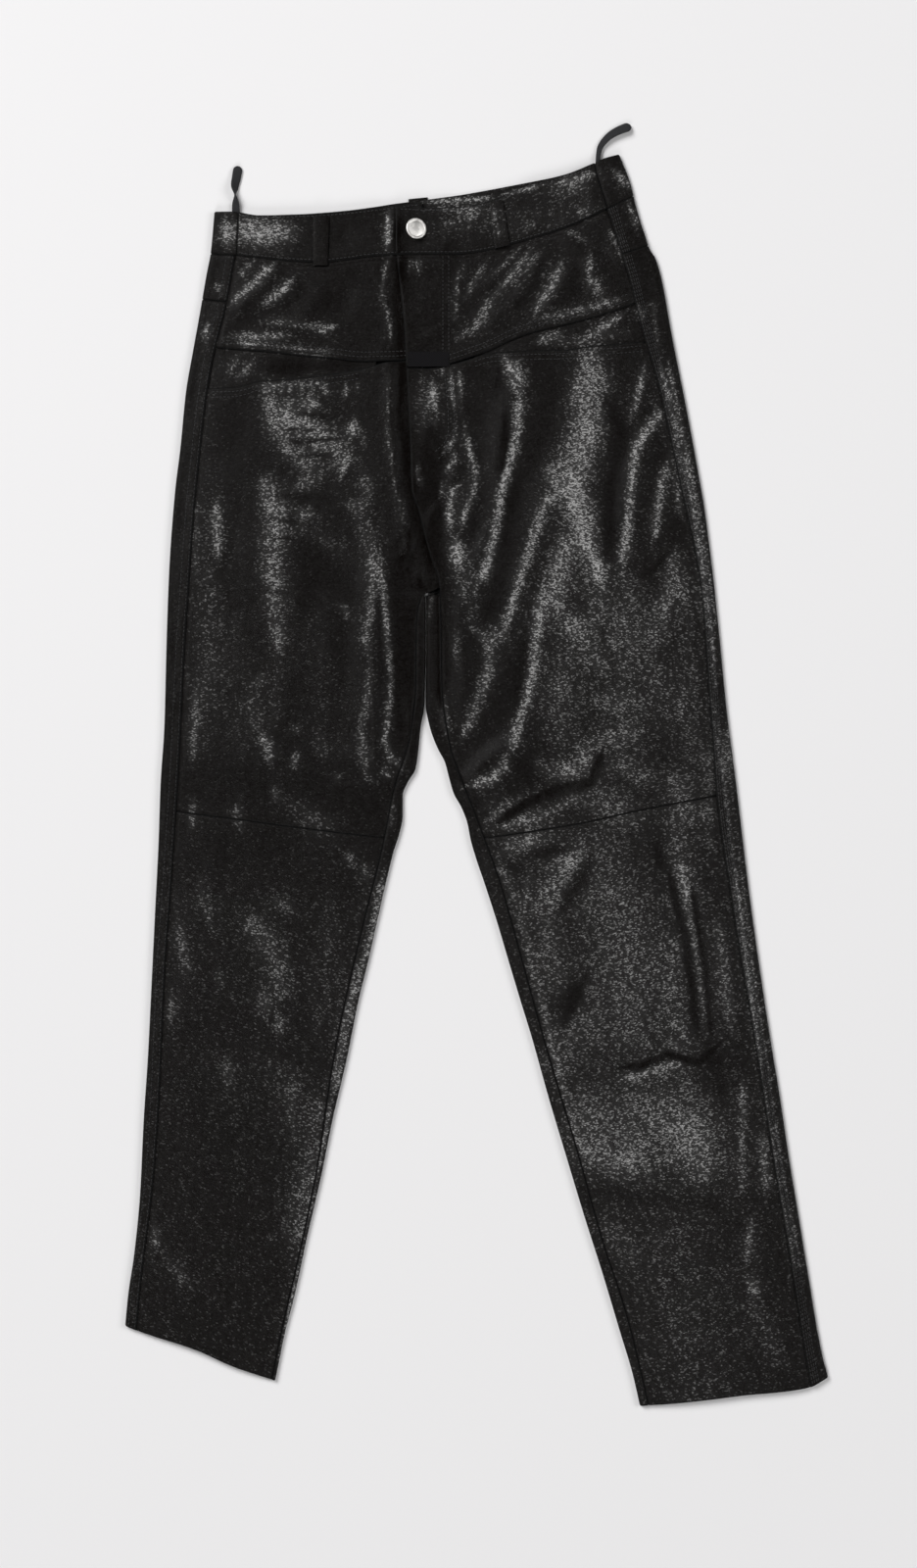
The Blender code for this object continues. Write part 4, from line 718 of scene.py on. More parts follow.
@dataclass(frozen=True)
class LegPlan(Plan):
    """Plan of one leg: rows run from its outer fold to its inner fold or the centre-back seam."""

    folds: tuple[Rows, Rows]
    seams: tuple[Rows, Rows]
    centre: Rows
    stations: Rows
    hem: Rows

    def ends(self, v: Array) -> tuple[Array, Array]:
        """The outer and the inner end of the rows at stations v."""
        heights = (np.interp(v, range(HEM_STATION + 1), y) for y in zip(*self.stations))
        return tuple(np.stack([smooth(x, y), y], axis=-1) for x, y in zip(self.folds, heights))

    def place(self, u: Array, v: Array) -> Array:
        """Lays out the leg; its first and last rows follow the waist seam and the hem.

        Args:
            u: shares of a row, from the outer end.
            v: stations of the rows.

        Returns:
            Places, x and y.
        """
        outer, inner = self.ends(v)
        place = outer + u[..., None] * (inner - outer)
        for rows, at, nearness in (
            (WAIST_SEAM, 0.0, np.clip(1 - v, 0, 1) ** 2),
            (self.hem, float(HEM_STATION), np.clip(v - HEM_STATION + 1, 0, 1) ** 4),
        ):
            x = place[..., 0]
            low, high = sorted(self.ends(at), key=lambda point: point[0])
            chord = np.interp(x, [low[0], high[0]], [low[1], high[1]])
            place[..., 1] += nearness * (smooth(rows, x) - chord)
        return place

    def spaced(self, start: float, end: float, share: Array) -> Array:
        """Stations at even steps down the leg; the short stretch at the crotch counts for more.

        Args:
            start: first station.
            end: last station.
            share: shares of the way between them.

        Returns:
            The stations.
        """
        heights, numbers = np.mean(self.stations, axis=1), range(HEM_STATION + 1)
        walked = np.concatenate([[0], np.cumsum(np.maximum(-np.diff(heights), CROTCH_ROWS))])
        first, last = np.interp([start, end], numbers, walked)
        return np.interp(first + share * (last - first), walked, numbers)

    def span(self, first: int, last: int) -> tuple[float, float]:
        """Stations of a panel's first and last rows, half a seam gap inside its seams.

        Args:
            first: station of the seam at its top.
            last: station of the seam at its bottom, or of the hem.

        Returns:
            The two stations.
        """
        heights = [row[0] for row in self.stations]
        start = SEAM_GAP / 2 / (heights[first] - heights[first + 1])
        end = SEAM_GAP / 2 / (heights[last - 1] - heights[last])
        return first + start, last - (0.0 if last == HEM_STATION else end)

    def closed(self, v: Array) -> Array:
        """0 above the crotch, where a row ends at the centre-back seam, and 1 below it."""
        return ease(v - CROTCH_STATION)

    def side(self, v: Array, reach: float = 0.0) -> Array:
        """Points of the side seam, or as far as reach past it."""
        return self.beside(v, 0, reach)

    def middle(self, v: Array, reach: float = 0.0) -> Array:
        """Points of the front's centre edge and, below the crotch, of the inside seam.

        Args:
            v: stations of the rows.
            reach: how far past the inside seam.

        Returns:
            Places, x and y.
        """
        y = self.ends(v)[1][..., 1]
        edge = np.stack([smooth(self.centre, y), y], axis=-1)
        return np.where(v[..., None] < INSEAM_STATION, edge, self.beside(v, 1, reach))

    def front(self, upper: Rows, lower: Rows, reaches: tuple[float, float, float]) -> Patch:
        """Plan of a front panel between two lines across the leg.

        Args:
            upper: the (x, y) rows of its top.
            lower: the (x, y) rows of its bottom.
            reaches: how far it reaches past the side seam, above its top and past the inside seam.

        Returns:
            A patch whose left line is the side seam.
        """
        at_side, above, at_middle = reaches
        stations = np.linspace(0, HEM_STATION, HEM_STATION * LINE_POINTS + 1)
        lines = []
        for line_of, reach in ((self.side, at_side), (self.middle, at_middle)):
            line = line_of(stations, reach)
            span = [np.interp(0, smooth(rows, line[:, 0]) + shift - line[:, 1], stations)
                    for rows, shift in ((upper, above), (lower, SEAM_GAP / 2))]
            lines.append(line_of(self.spaced(*span, shares(FRONT_POINTS)), reach))
        top = across(upper, lines[0][0, 0], lines[1][0, 0], above)
        bottom = across(lower, lines[0][-1, 0], lines[1][-1, 0])
        return Patch(top, bottom, *lines)


@dataclass(frozen=True)
class BandPlan(Plan):
    """Plan of the back waistband: rows run from the right fold to the left fold."""

    patch: Patch
    seams: tuple[Rows, Rows] = (RIGHT_SIDE_SEAM, LEFT_SIDE_SEAM)

    @classmethod
    def cut(cls) -> BandPlan:
        """Lays the band out between its upper edge, the waist seam and the two folds.

        Returns:
            The plan.
        """
        top = across(BACK_TOP, BACK_TOP[0][0], BACK_TOP[-1][0])
        bottom = across(WAIST_SEAM, WAIST_SEAM[0][0], WAIST_SEAM[-1][0], SEAM_GAP / 2)
        folds = (down(fold, top[end, 1], bottom[end, 1])
                 for fold, end in ((RIGHT_OUTER, 0), (LEFT_OUTER, -1)))
        return cls(Patch(top, bottom, *folds))

    def ends(self, v: Array) -> tuple[Array, Array]:
        """The right and the left end of the rows."""
        return by_point(self.patch.left, v), by_point(self.patch.right, v)

    def place(self, u: Array, v: Array) -> Array:
        """Lays out the band at shares u of its rows v."""
        return self.patch.place(u, v)


# --- how the cloth lies ----------------------------------------------------------------------


class Edge(Enum):
    """How a panel ends: lapped over its neighbour, lapped under it, sewn edge to edge, or cut."""

    OVER = "over"
    UNDER = "under"
    BUTT = "butt"
    CUT = "cut"

    def lift(self, distance: Array) -> Array:
        """How much higher the leather lies near this edge.

        Args:
            distance: how far in from the edge.

        Returns:
            Heights; a lap stands up on the turned edge below it, and the rest sinks into the seam.
        """
        if self is Edge.OVER:
            pulled = STITCH_PULL * bell(distance - FIRST_ROW, 1.0)
            return LAP_LIFT * bell(distance, LAP_REACH) - pulled
        if self is Edge.UNDER:
            return -UNDER_SINK * (1 - ease((distance - UNDERLAP) / UNDER_SLOPE))
        if self is Edge.BUTT:
            ridge = SEAM_RIDGE * bell(distance - RIDGE_PLACE, RIDGE_REACH)
            return ridge - BUTT_SINK * bell(distance, BUTT_SLOPE)
        return np.zeros_like(distance)

    def rounding(self, distance: Array) -> Array:
        """How much the upper face is worn down near this edge.

        Args:
            distance: how far in from the edge.

        Returns:
            Depths, which are 0 where the edge is hidden.
        """
        if self is Edge.UNDER:
            return np.zeros_like(distance)
        worn, width = LAP_WEAR if self is Edge.OVER else CUT_WEAR
        return worn * bell(distance, width)


@dataclass(frozen=True)
class Lie:
    """The one height field that the top of the cloth follows."""

    waves: int = 12
    wave_height: float = 0.12
    wave_lengths: tuple[float, float] = (45.0, 140.0)
    wave_bend: tuple[float, float, float] = (0.25, 0.7, 2.3)  # share of the length, slant, spacing
    seed: int = 7

    def edge_distances(self, x: Array, y: Array) -> tuple[Array, Array]:
        """Finds how far in from the folds of its leg a place lies.

        Args:
            x: places.
            y: places.

        Returns:
            Distances from the outer fold and from the inner one, which counts as far off above
            the crotch.
        """
        right_inner, left_inner = smooth(RIGHT_INNER, y), smooth(LEFT_INNER, y)
        on_right = x < (right_inner + left_inner) / 2
        outer = np.where(on_right, x - smooth(RIGHT_OUTER, y), smooth(LEFT_OUTER, y) - x)
        inner = np.where(on_right, right_inner - x, x - left_inner)
        above = ease((y - CENTRE_LOW) / (CENTRE_HIGH - CENTRE_LOW))
        return outer, inner + CENTRE_REACH * above

    def creases(self, rows: Rows, x: Array, y: Array) -> Array:
        """Adds up creases: bowed ridges or troughs, bell-shaped across and tapered to their ends.

        Args:
            rows: start, end, bow to the left of the way there, width and rise of each.
            x: places.
            y: places.

        Returns:
            Heights.
        """
        total = np.zeros_like(x)
        for x0, y0, x1, y1, bow, width, rise in rows:
            margin = 3 * width + abs(bow)
            near = ((x > min(x0, x1) - margin) & (x < max(x0, x1) + margin)
                    & (y > min(y0, y1) - margin) & (y < max(y0, y1) + margin))
            if not near.any():
                continue
            px, py = x[near] - x0, y[near] - y0
            length = math.hypot(x1 - x0, y1 - y0)
            ahead = np.clip((px * (x1 - x0) + py * (y1 - y0)) / length**2, 0, 1)
            aside = (py * (x1 - x0) - px * (y1 - y0)) / length - 4 * bow * ahead * (1 - ahead)
            to_light = (LIGHT[1] * (x1 - x0) - LIGHT[0] * (y1 - y0)) / length
            aside += LEE * width * to_light * math.copysign(1, rise)
            total[near] += rise * bell(aside, width) * np.sin(math.pi * ahead)
        return total

    def undulation(self, x: Array, y: Array) -> Array:
        """Sums long, low waves of different lengths and headings, each bent a little.

        Args:
            x: places.
            y: places.

        Returns:
            Heights.
        """
        share, slant, spacing = self.wave_bend
        draw = np.random.default_rng(self.seed)
        total = np.zeros_like(x)
        for _ in range(self.waves):
            length = draw.uniform(*self.wave_lengths)
            heading, phase = draw.uniform(0, math.pi), draw.uniform(0, 2 * math.pi)
            bend = share * length * np.sin((x * slant + y) / (spacing * length) + phase)
            way = x * math.cos(heading) + y * math.sin(heading) + bend
            total += self.wave_height * np.sin(2 * math.pi * way / length + phase)
        return total

    def band_lift(self, x: Array, y: Array) -> Array:
        """Height of the bulge where the band lies on the centre-back loop.

        Args:
            x: places.
            y: places.

        Returns:
            Heights, which ease out beside the loop and below it.
        """
        left, right, low = BACK_LOOP[0][0], BACK_LOOP[1][0], BACK_LOOP[2][1]
        beside = np.maximum(np.maximum(left - x, x - right), low - y)
        return BACK_LOOP_LIFT * ease(1 - (beside - BACK_LOOP_MARGIN) / BACK_LOOP_EASE)

    def height(self, x: Array, y: Array) -> Array:
        """Height of the top of the cloth above the surface.

        Args:
            x: places.
            y: places.

        Returns:
            Folded edge, soft crown, creases and low waves, which die out towards the folds.
        """
        crown, fade, slight = 1.0, 1.0, 1.0
        for distance in self.edge_distances(x, y):
            inside = np.maximum(distance - FOLD_RADIUS, 0)
            crown = crown * (1 - bell(inside, CROWN_REACH))
            fade = fade * (1 - bell(inside, FOLD_FADE))
            slight = slight * (1 - bell(inside, CREASE_FADE))
        lie = EDGE_HEIGHT + CROWN * crown + FOLD_RELIEF * fade * self.creases(FOLDS, x, y)
        lie = lie + slight * (CREASE_RELIEF * self.creases(CREASES, x, y) + self.undulation(x, y))
        return lie + self.band_lift(x, y)

    def underside(self, x: Array, y: Array) -> Array:
        """How far the cloth underneath lies off the surface."""
        inside = np.minimum(*self.edge_distances(x, y))
        return self.band_lift(x, y) + ease(inside / BACK_FADE) * self.creases(BACK_CREASES, x, y)


LIE = Lie()


def under_fly(x: Array, y: Array) -> Array:
    """How far the right front sinks on its way under the left one."""
    return LAYER_STEP * ease((x + TUCK_AHEAD - smooth(FLY_EDGE, y)) / TUCK_SLOPE + 1)


# --- meshes ----------------------------------------------------------------------------------


def as_mesh(name: str, points: Array, faces: Array, uv: Array | None = None) -> bpy.types.Object:
    """Puts a closed form of four-sided faces into a mesh, faces outward.

    Args:
        name: of the object.
        points: in millimetres.
        faces: corners of each face; a triangle repeats its last corner.
        uv: place of each point on the flat sheet, in millimetres.

    Returns:
        The object, at the origin.
    """
    corners = points[faces]
    six_volumes = sum(np.einsum("ij,ij->", corners[:, 0], np.cross(corners[:, b], corners[:, b + 1]))
                      for b in (1, 2))
    if six_volumes < 0:
        faces = faces[:, ::-1]
        turned = faces[:, 0] == faces[:, 1]
        faces[turned] = faces[turned][:, [1, 2, 3, 3]]
    three = faces[:, 2] == faces[:, 3]
    sides = np.where(three, 3, 4)
    kept = np.ones(faces.shape, bool)
    kept[three, 3] = False
    loops = faces[kept]
    mesh = bpy.data.meshes.new(name)
    mesh.vertices.add(len(points))
    mesh.vertices.foreach_set("co", (points * MM).astype(np.float32).ravel())
    mesh.loops.add(len(loops))
    mesh.loops.foreach_set("vertex_index", loops.astype(np.int32))
    mesh.polygons.add(len(faces))
    starts = np.concatenate([[0], np.cumsum(sides)[:-1]])
    mesh.polygons.foreach_set("loop_start", starts.astype(np.int32))
    mesh.update(calc_edges=True)
    mesh.shade_smooth()
    if uv is not None:
        layer = mesh.uv_layers.new(name=CLOTH_UV)
        layer.data.foreach_set("uv", uv[loops].astype(np.float32).ravel())
    piece = bpy.data.objects.new(name, mesh)
    bpy.context.scene.collection.objects.link(piece)
    return piece


def quads(rows: int, columns: int, ring: bool = False) -> Array:
    """Numbers the corners of the faces of a grid of points.

    Args:
        rows: of points.
        columns: of points.
        ring: whether the last column is joined to the first.

    Returns:
        Four corners for each face.
    """
    index = np.arange(rows * columns).reshape(rows, columns)
    if ring:
        index = np.concatenate([index, index[:, :1]], axis=1)
    cells = [index[:-1, :-1], index[1:, :-1], index[1:, 1:], index[:-1, 1:]]
    return np.stack([cell.ravel() for cell in cells], axis=1)


def turned_faces(rings: int, sides: int) -> Array:
    """Faces of rings of points that are followed by one point before the first ring and one after.

    Args:
        rings: how many there are.
        sides: points in each.

    Returns:
        Corners of each face; a triangle repeats its last corner.
    """
    here, low = np.arange(sides), (rings - 1) * sides
    after, end = (here + 1) % sides, np.full(sides, rings * sides)
    return np.concatenate([
        quads(rings, sides, ring=True),
        np.stack([end, here, after, after], axis=1),
        np.stack([end + 1, after + low, here + low, here + low], axis=1),
    ])


def walled(name: str, both: Array, uv: Array) -> bpy.types.Object:
    """Makes a closed wall of its two faces, joined round the edge.

    Args:
        name: of the object.
        both: the grids of points of the two faces.
        uv: place of each point on the flat sheet.

    Returns:
        The object.
    """
    rows, columns = both.shape[1:3]
    count = rows * columns
    index = np.arange(count).reshape(rows, columns)
    rim = np.concatenate([index[:-1, 0], index[-1, :-1], index[:0:-1, -1], index[0, :0:-1]])
    after, sheet = np.roll(rim, -1), quads(rows, columns)
    band = np.stack([after, rim, rim + count, after + count], axis=1)
    faces = np.concatenate([sheet, sheet[:, ::-1] + count, band])
    piece = as_mesh(name, both.reshape(-1, 3), faces, np.concatenate([uv, uv]))
    piece.data.set_sharp_from_angle(angle=SHARP)
    return piece


def dress(piece: bpy.types.Object, finish: Finish, name: str) -> None:
    """Gives a piece its finish and rides it on the body, in place of the solid of that name.

    Args:
        piece: a finished mesh.
        finish: what it is made of.
        name: of the solid.
    """
    piece.data.materials.append(finish.material)
    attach(piece, BODY)
    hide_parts(name)


def normals(points: Array) -> Array:
    """Unit normals of a grid of points, from the slopes between neighbours."""
    normal = np.cross(np.gradient(points, axis=0), np.gradient(points, axis=1))
    return normal / np.maximum(np.linalg.norm(normal, axis=-1, keepdims=True), TINY)


@dataclass
class Sheet:
    """A leather, cloth or tape panel: one wall between its upper face and its lining face."""

    name: str
    form: Form
    over: Array
    ahead: Array
    finish: Finish
    wall: float
    slot: str
    rests_on: tuple[str, ...] = ()
    faced: bool = False  # its inner side is grain too

    def build(self) -> bpy.types.Object:
        """Makes the mesh, with the panel laid flat as its UV map, and rides it on the body.

        Returns:
            The panel, which replaces the solid of the same name.
        """
        s, t = np.meshgrid(self.over, self.ahead, indexing="ij")
        plain, worn = self.form.surface(s, t), self.form.worn(s, t)
        normal = normals(plain)
        if normal[0, 0, 2] < 0:
            normal = -normal
        level = np.abs(normal[..., 2:]) > UPRIGHT
        inward = np.where(level, np.array((0, 0, 1)) / np.where(level, normal[..., 2:], 1), normal)
        both = np.stack([plain - worn[..., None] * inward, plain - self.wall * inward])
        piece = walled(f"{self.name}_{self.slot}", both, self.flat_places(plain))
        self.paint(piece, both.reshape(-1, 3), self.form.raw(s, t).ravel())
        dress(piece, self.finish, self.name)
        return piece

    def flat_places(self, points: Array) -> Array:
        """Lays the panel flat: the way walked across it from its middle, and down it.

        Args:
            points: grid of its upper face.

        Returns:
            A place for each point.
        """
        steps = [np.linalg.norm(np.diff(points, axis=k), axis=-1) for k in (0, 1)]
        over, ahead = (np.concatenate([np.zeros_like(step.take([0], k)), np.cumsum(step, axis=k)], axis=k)
                       for k, step in enumerate(steps))
        middle = len(points) // 2
        u = points[middle, :, 0] + over - over[middle]
        v = points[middle, 0, 1] - ahead[middle] + np.zeros_like(u)
        return np.stack([u, v], axis=-1).reshape(-1, 2)

    def paint(self, piece: bpy.types.Object, points: Array, raw: Array) -> None:
        """Paints its leather's painted sheen and painted shade from place to place, and where it shows
        raw.

        Args:
            piece: the panel.
            points: of its mesh.
            raw: how near each point of the upper face is to a cut edge, from 0 to 1.
        """
        # Painted sheen and highlights, and painted shade below 0, on faces higher than the floor height.
        painted_sheen = PAINTED_SHEEN.at(points[:, 0], points[:, 1]) * (points[:, 2] > PAINTED_SHEEN_FLOOR)
        lining = np.concatenate([raw, np.full(len(raw), 0.0 if self.faced else 1.0)])
        for name, values in ((PAINTED_SHEEN_FIELD, painted_sheen), (LINING, lining)):
            painted = piece.data.attributes.new(name, "FLOAT", "POINT")
            painted.data.foreach_set("value", values.astype(np.float32))


class Form:
    """The upper face of a panel, as a function of two shares."""

    def surface(self, s: Array, t: Array) -> Array:
        """Points of the upper face, before wear."""
        raise NotImplementedError

    def profile(self, of: str, s: Array, t: Array) -> Array:
        """Adds up what the panel's edges do to it: their lift or their rounding."""
        raise NotImplementedError

    def worn(self, s: Array, t: Array) -> Array:
        """How much the upper face is rounded off."""
        return self.profile("rounding", s, t)

    def raw(self, s: Array, t: Array) -> Array:
        """How near a point is to a cut edge, from 0 to 1."""
        return np.clip(self.worn(s, t) / RAW_WEAR, 0, 1) ** 0.5


@dataclass(frozen=True)
class Lid(Form):
    """A panel that follows the top of the cloth between its four edges.

    below gives how far it lies below the top at each place; edges are those of the left line,
    right line, top and bottom; from_y is where the right line's edge gives way to lower_right.
    """

    plan: Patch
    edges: tuple[Edge, Edge, Edge, Edge]
    below: Surface | None = None
    lower_right: Edge | None = None
    from_y: float = 138.0

    def distances(self, s: Array, t: Array) -> list[Array]:
        """Measures how far in from the four edges the points lie.

        Args:
            s: shares from the left line to the right one.
            t: shares from the top to the bottom.

        Returns:
            Distances from the left line, the right line, the top and the bottom.
        """
        here = self.plan.place(s, t)
        borders = ((s * 0, t), (s * 0 + 1, t), (s, t * 0), (s, t * 0 + 1))
        return [np.linalg.norm(here - self.plan.place(*border), axis=-1) for border in borders]

    def parallel(self, border: int, distance: float, start: float, end: float) -> Array:
        """Path beside an edge.

        Args:
            border: 0 left, 1 right, 2 top, 3 bottom.
            distance: how far in from it.
            start: share of the edge where the path begins.
            end: share of the edge where it stops.

        Returns:
            The two shares at each of its points.
        """
        way, none = np.linspace(start, end, PATH_POINTS), np.zeros(PATH_POINTS)
        ends = ((none, way), (none + 1, way)) if border < 2 else ((way, none), (way, none + 1))
        span = np.linalg.norm(self.plan.place(*ends[0]) - self.plan.place(*ends[1]), axis=-1)
        share = distance / span
        share = share if border in (0, 2) else 1 - share
        return np.stack([share, way] if border < 2 else [way, share], axis=1)

    def profile(self, of: str, s: Array, t: Array) -> Array:
        """Adds up the lift or the rounding of the four edges.

        Args:
            of: name of the method of Edge.
            s: shares across.
            t: shares down.

        Returns:
            Its sum at each point.
        """
        distances = self.distances(s, t)
        effects = [getattr(edge, of)(distance) for edge, distance in zip(self.edges, distances)]
        if self.lower_right is not None:
            share = ease((self.plan.place(s, t)[..., 1] - self.from_y) / EDGE_CHANGE)
            lower = getattr(self.lower_right, of)(distances[1])
            effects[1] = share * effects[1] + (1 - share) * lower
        return sum(effects)

    def surface(self, s: Array, t: Array) -> Array:
        """Lays the panel on the cloth's height, less its drop and plus its edges' lift.

        Args:
            s: shares across.
            t: shares down.

        Returns:
            Points of the upper face.
        """
        place = self.plan.place(s, t)
        x, y = place[..., 0], place[..., 1]
        z = LIE.height(x, y) + self.profile("lift", s, t)
        if self.below is not None:
            z = z - self.below(x, y)
        return np.stack([x, y, z], axis=-1)


@dataclass(frozen=True)
class Wrap(Form):
    """A back panel that wraps round the folds of a leg or of the band.

    s runs 0 to 1 along the strip on top, to 2 round the outer fold, to 3 along the surface, to 4
    round the inner fold and to 5 along the inner strip; t is the station of the row. edges are
    those of the outer strip, the inner strip, the first row and the last row.
    """

    plan: Plan
    span: tuple[float, float]
    edges: tuple[Edge, Edge, Edge, Edge]

    def rows(self, t: Array) -> Array:
        """Stations of the rows at shares t of the panel."""
        return self.plan.spaced(*self.span, t)

    def path(self, s: Array, v: Array) -> tuple[Array, Array, list[Array]]:
        """Follows the path round the leg.

        Args:
            s: place along the path.
            v: stations of the rows.

        Returns:
            The share of the row, how far up between surface and top it lies, and the distances in
            from the two strips' edges.
        """
        width, closed = self.plan.width(v), self.plan.closed(v)
        outer, inner = (inset - SEAM_GAP / 2 for inset in self.plan.insets(v))
        phase = [np.clip(s - k, 0, 1) for k in range(5)]
        turn = [math.pi * (0.5 - phase[1]), math.pi * (phase[3] - 0.5)]
        bend = [FOLD_RADIUS * (1 - np.cos(angle)) for angle in turn]
        rise = [(1 + np.sin(angle)) / 2 for angle in turn]
        start = np.where(s < 1, outer + (FOLD_RADIUS - outer) * phase[0], bend[0])
        finish = np.where(s > 4, FOLD_RADIUS + (inner - FOLD_RADIUS) * phase[4], bend[1])
        tail = TAIL + (SEAM_GAP / 2 - TAIL) * (phase[3] + phase[4]) / 2
        finish = closed * np.where(s > 3, finish, FOLD_RADIUS) + (1 - closed) * tail
        flat = FOLD_RADIUS + (width - finish - FOLD_RADIUS) * phase[2]
        distance = np.where(s < 2, start, np.where(s < 3, flat, width - finish))
        lift = np.where(s < 2, rise[0], np.where(s < 3, 0, closed * rise[1]))
        open_seam = np.where(closed > 0.5, inner - finish, finish)
        distances = [np.where(s < 1, outer - start, FAR), np.where(s > 3, open_seam, FAR)]
        return distance / width, lift, distances

    def profile(self, of: str, s: Array, t: Array) -> Array:
        """Adds up the lift or the rounding of the strips' edges and of the first and last rows.

        Args:
            of: name of the method of Edge.
            s: place along the path.
            t: shares down.

        Returns:
            Its sum at each point.
        """
        v = self.rows(t)
        share, _, distances = self.path(s, v)
        here = self.plan.place(share, v)
        for end in (0.0, 1.0):
            v_end = self.rows(np.full_like(t, end))
            there = self.plan.place(self.path(s, v_end)[0], v_end)
            distances.append(np.abs(here[..., 1] - there[..., 1]))
        return sum(getattr(edge, of)(d) for edge, d in zip(self.edges, distances))

    def surface(self, s: Array, t: Array) -> Array:
        """Wraps the panel: up on the cloth's top, round the folds and down on the surface.

        Args:
            s: place along the path.
            t: shares down.

        Returns:
            Points of the outer face.
        """
        v = self.rows(t)
        share, lift, _ = self.path(s, v)
        place = self.plan.place(share, v)
        x, y = place[..., 0], place[..., 1]
        low = LIE.underside(x, y)
        z = low + lift * (LIE.height(x, y) - low)
        edge = self.profile("lift", s, t)
        return np.stack([x, y, z + lift * edge + (1 - lift) * np.maximum(-edge, 0)], axis=-1)


# --- finishes --------------------------------------------------------------------------------


class Value:
    """A shader socket; arithmetic on it adds maths nodes."""

    def __init__(self, graph: Graph, socket: bpy.types.NodeSocket) -> None:
        """Keeps the socket and the graph that it belongs to."""
        self.graph, self.socket = graph, socket

    def maths(self, operation: str, *operands: Operand) -> Value:
        """Adds one maths node on the operands."""
        return self.graph.node("ShaderNodeMath", {"operation": operation}, dict(enumerate(operands)))

    def __add__(self, other: Operand) -> Value:
        """Self plus other."""
        return self.maths("ADD", self, other)

    __radd__ = __add__

    def __sub__(self, other: Operand) -> Value:
        """Self less other."""
        return self.maths("SUBTRACT", self, other)

    def __rsub__(self, other: Operand) -> Value:
        """Other less self."""
        return self.maths("SUBTRACT", other, self)

    def __mul__(self, other: Operand) -> Value:
        """Self times other."""
        return self.maths("MULTIPLY", self, other)

    __rmul__ = __mul__

    def __truediv__(self, other: Operand) -> Value:
        """Self divided by other."""
        return self.maths("DIVIDE", self, other)

    def above(self, least: float) -> Value:
        """Self, but nowhere under the least."""
        return self.maths("MAXIMUM", self, least)

    def wave(self) -> Value:
        """Sine of the value, in radians."""
        return self.maths("SINE", self)

    def between(self, low: float, high: float) -> Value:
        """Rises smoothly from 0 at low to 1 at high."""
        settings = {"interpolation_type": "SMOOTHSTEP"}
        return self.graph.node("ShaderNodeMapRange", settings,
                               {"Value": self, "From Min": low, "From Max": high})


Operand = Value | float


class Graph:
    """The nodes of one material, on the shader that it comes with."""

    def __init__(self, name: str) -> None:
        """Makes the material with its shader.

        Args:
            name: of the material.
        """
        self.material = bpy.data.materials.new(name)
        self.material.use_nodes = True
        self.tree = self.material.node_tree
        self.shader = self.tree.nodes["Principled BSDF"]

    def node(self, kind: str, settings: dict[str, object], inputs: dict[str | int, object],
             output: str | int = 0) -> Value:
        """Adds a node.

        Args:
            kind: the node's type.
            settings: its properties, which are set first.
            inputs: a value or a linked socket for each input.
            output: the socket that is handed on.

        Returns:
            That output.
        """
        node = self.tree.nodes.new(kind)
        for name, value in settings.items():
            setattr(node, name, value)
        for name, value in inputs.items():
            if isinstance(value, Value):
                self.tree.links.new(value.socket, node.inputs[name])
            else:
                node.inputs[name].default_value = value
        return Value(self, node.outputs[output])

    def cloth(self) -> Value:
        """Place on the flat sheet, in millimetres."""
        return self.node("ShaderNodeUVMap", {"uv_map": CLOTH_UV}, {}, "UV")

    def place(self, stretch: tuple[float, float, float] = (1.0, 1.0, 1.0)) -> Value:
        """Place on the object, in millimetres, stretched."""
        place = self.node("ShaderNodeTexCoord", {}, {}, "Object")
        return self.vector("MULTIPLY", place, tuple(factor / MM for factor in stretch))

    def field(self, name: str) -> Value:
        """A value painted on the mesh."""
        return self.node("ShaderNodeAttribute", {"attribute_name": name}, {}, "Fac")

    def vector(self, operation: str, first: object, second: object) -> Value:
        """Adds one vector maths node."""
        return self.node("ShaderNodeVectorMath", {"operation": operation}, {0: first, 1: second})

    def noise(self, at: Value, size: float, detail: float = 2.0, roughness: float = 0.5,
              output: str = "Fac") -> Value:
        """Flat noise, mostly between 0.3 and 0.7, whose bumps lie that size apart."""
        inputs = {"Vector": at, "Scale": 1 / size, "Detail": detail, "Roughness": roughness}
        return self.node("ShaderNodeTexNoise", {"noise_dimensions": "2D"}, inputs, output)

    def cells(self, at: Value, size: float, feature: str, output: str) -> Value:
        """Adds a flat pattern of cells of that size."""
        settings = {"voronoi_dimensions": "2D", "feature": feature}
        return self.node("ShaderNodeTexVoronoi", settings, {"Vector": at, "Scale": 1 / size}, output)

    def mix(self, share: Operand, first: object, second: object) -> Value:
        """Mixes two colours."""
        settings = {"data_type": "RGBA", "blend_type": "MIX"}
        return self.node("ShaderNodeMix", settings, {0: share, 6: first, 7: second}, 2)

    def feed(self, **values: object) -> None:
        """Sets or links the shader's inputs, named with underscores for spaces."""
        for name, value in values.items():
            socket = self.shader.inputs[name.replace("_", " ")]
            if isinstance(value, Value):
                self.tree.links.new(value.socket, socket)
            else:
                socket.default_value = value

    def bump(self, height: Value, strength: float = 1.0) -> Value:
        """Turns a height in millimetres into a normal."""
        inputs = {"Height": height, "Distance": MM, "Strength": strength}
        return self.node("ShaderNodeBump", {}, inputs, "Normal")


def dimmed(colour: Colour, share: float) -> Colour:
    """The colour at that share of its strength."""
    return tuple(share * part for part in colour[:3]) + (1,)


@dataclass(frozen=True)
class Finish:
    """A finish by name; its material is made once, by its own recipe."""

    name: str

    @property
    def material(self) -> bpy.types.Material:
        """The material, made when it is first asked for."""
        return bpy.data.materials.get(self.name) or self.make(Graph(self.name))

    def make(self, graph: Graph) -> bpy.types.Material:
        """Builds the nodes."""
        raise NotImplementedError


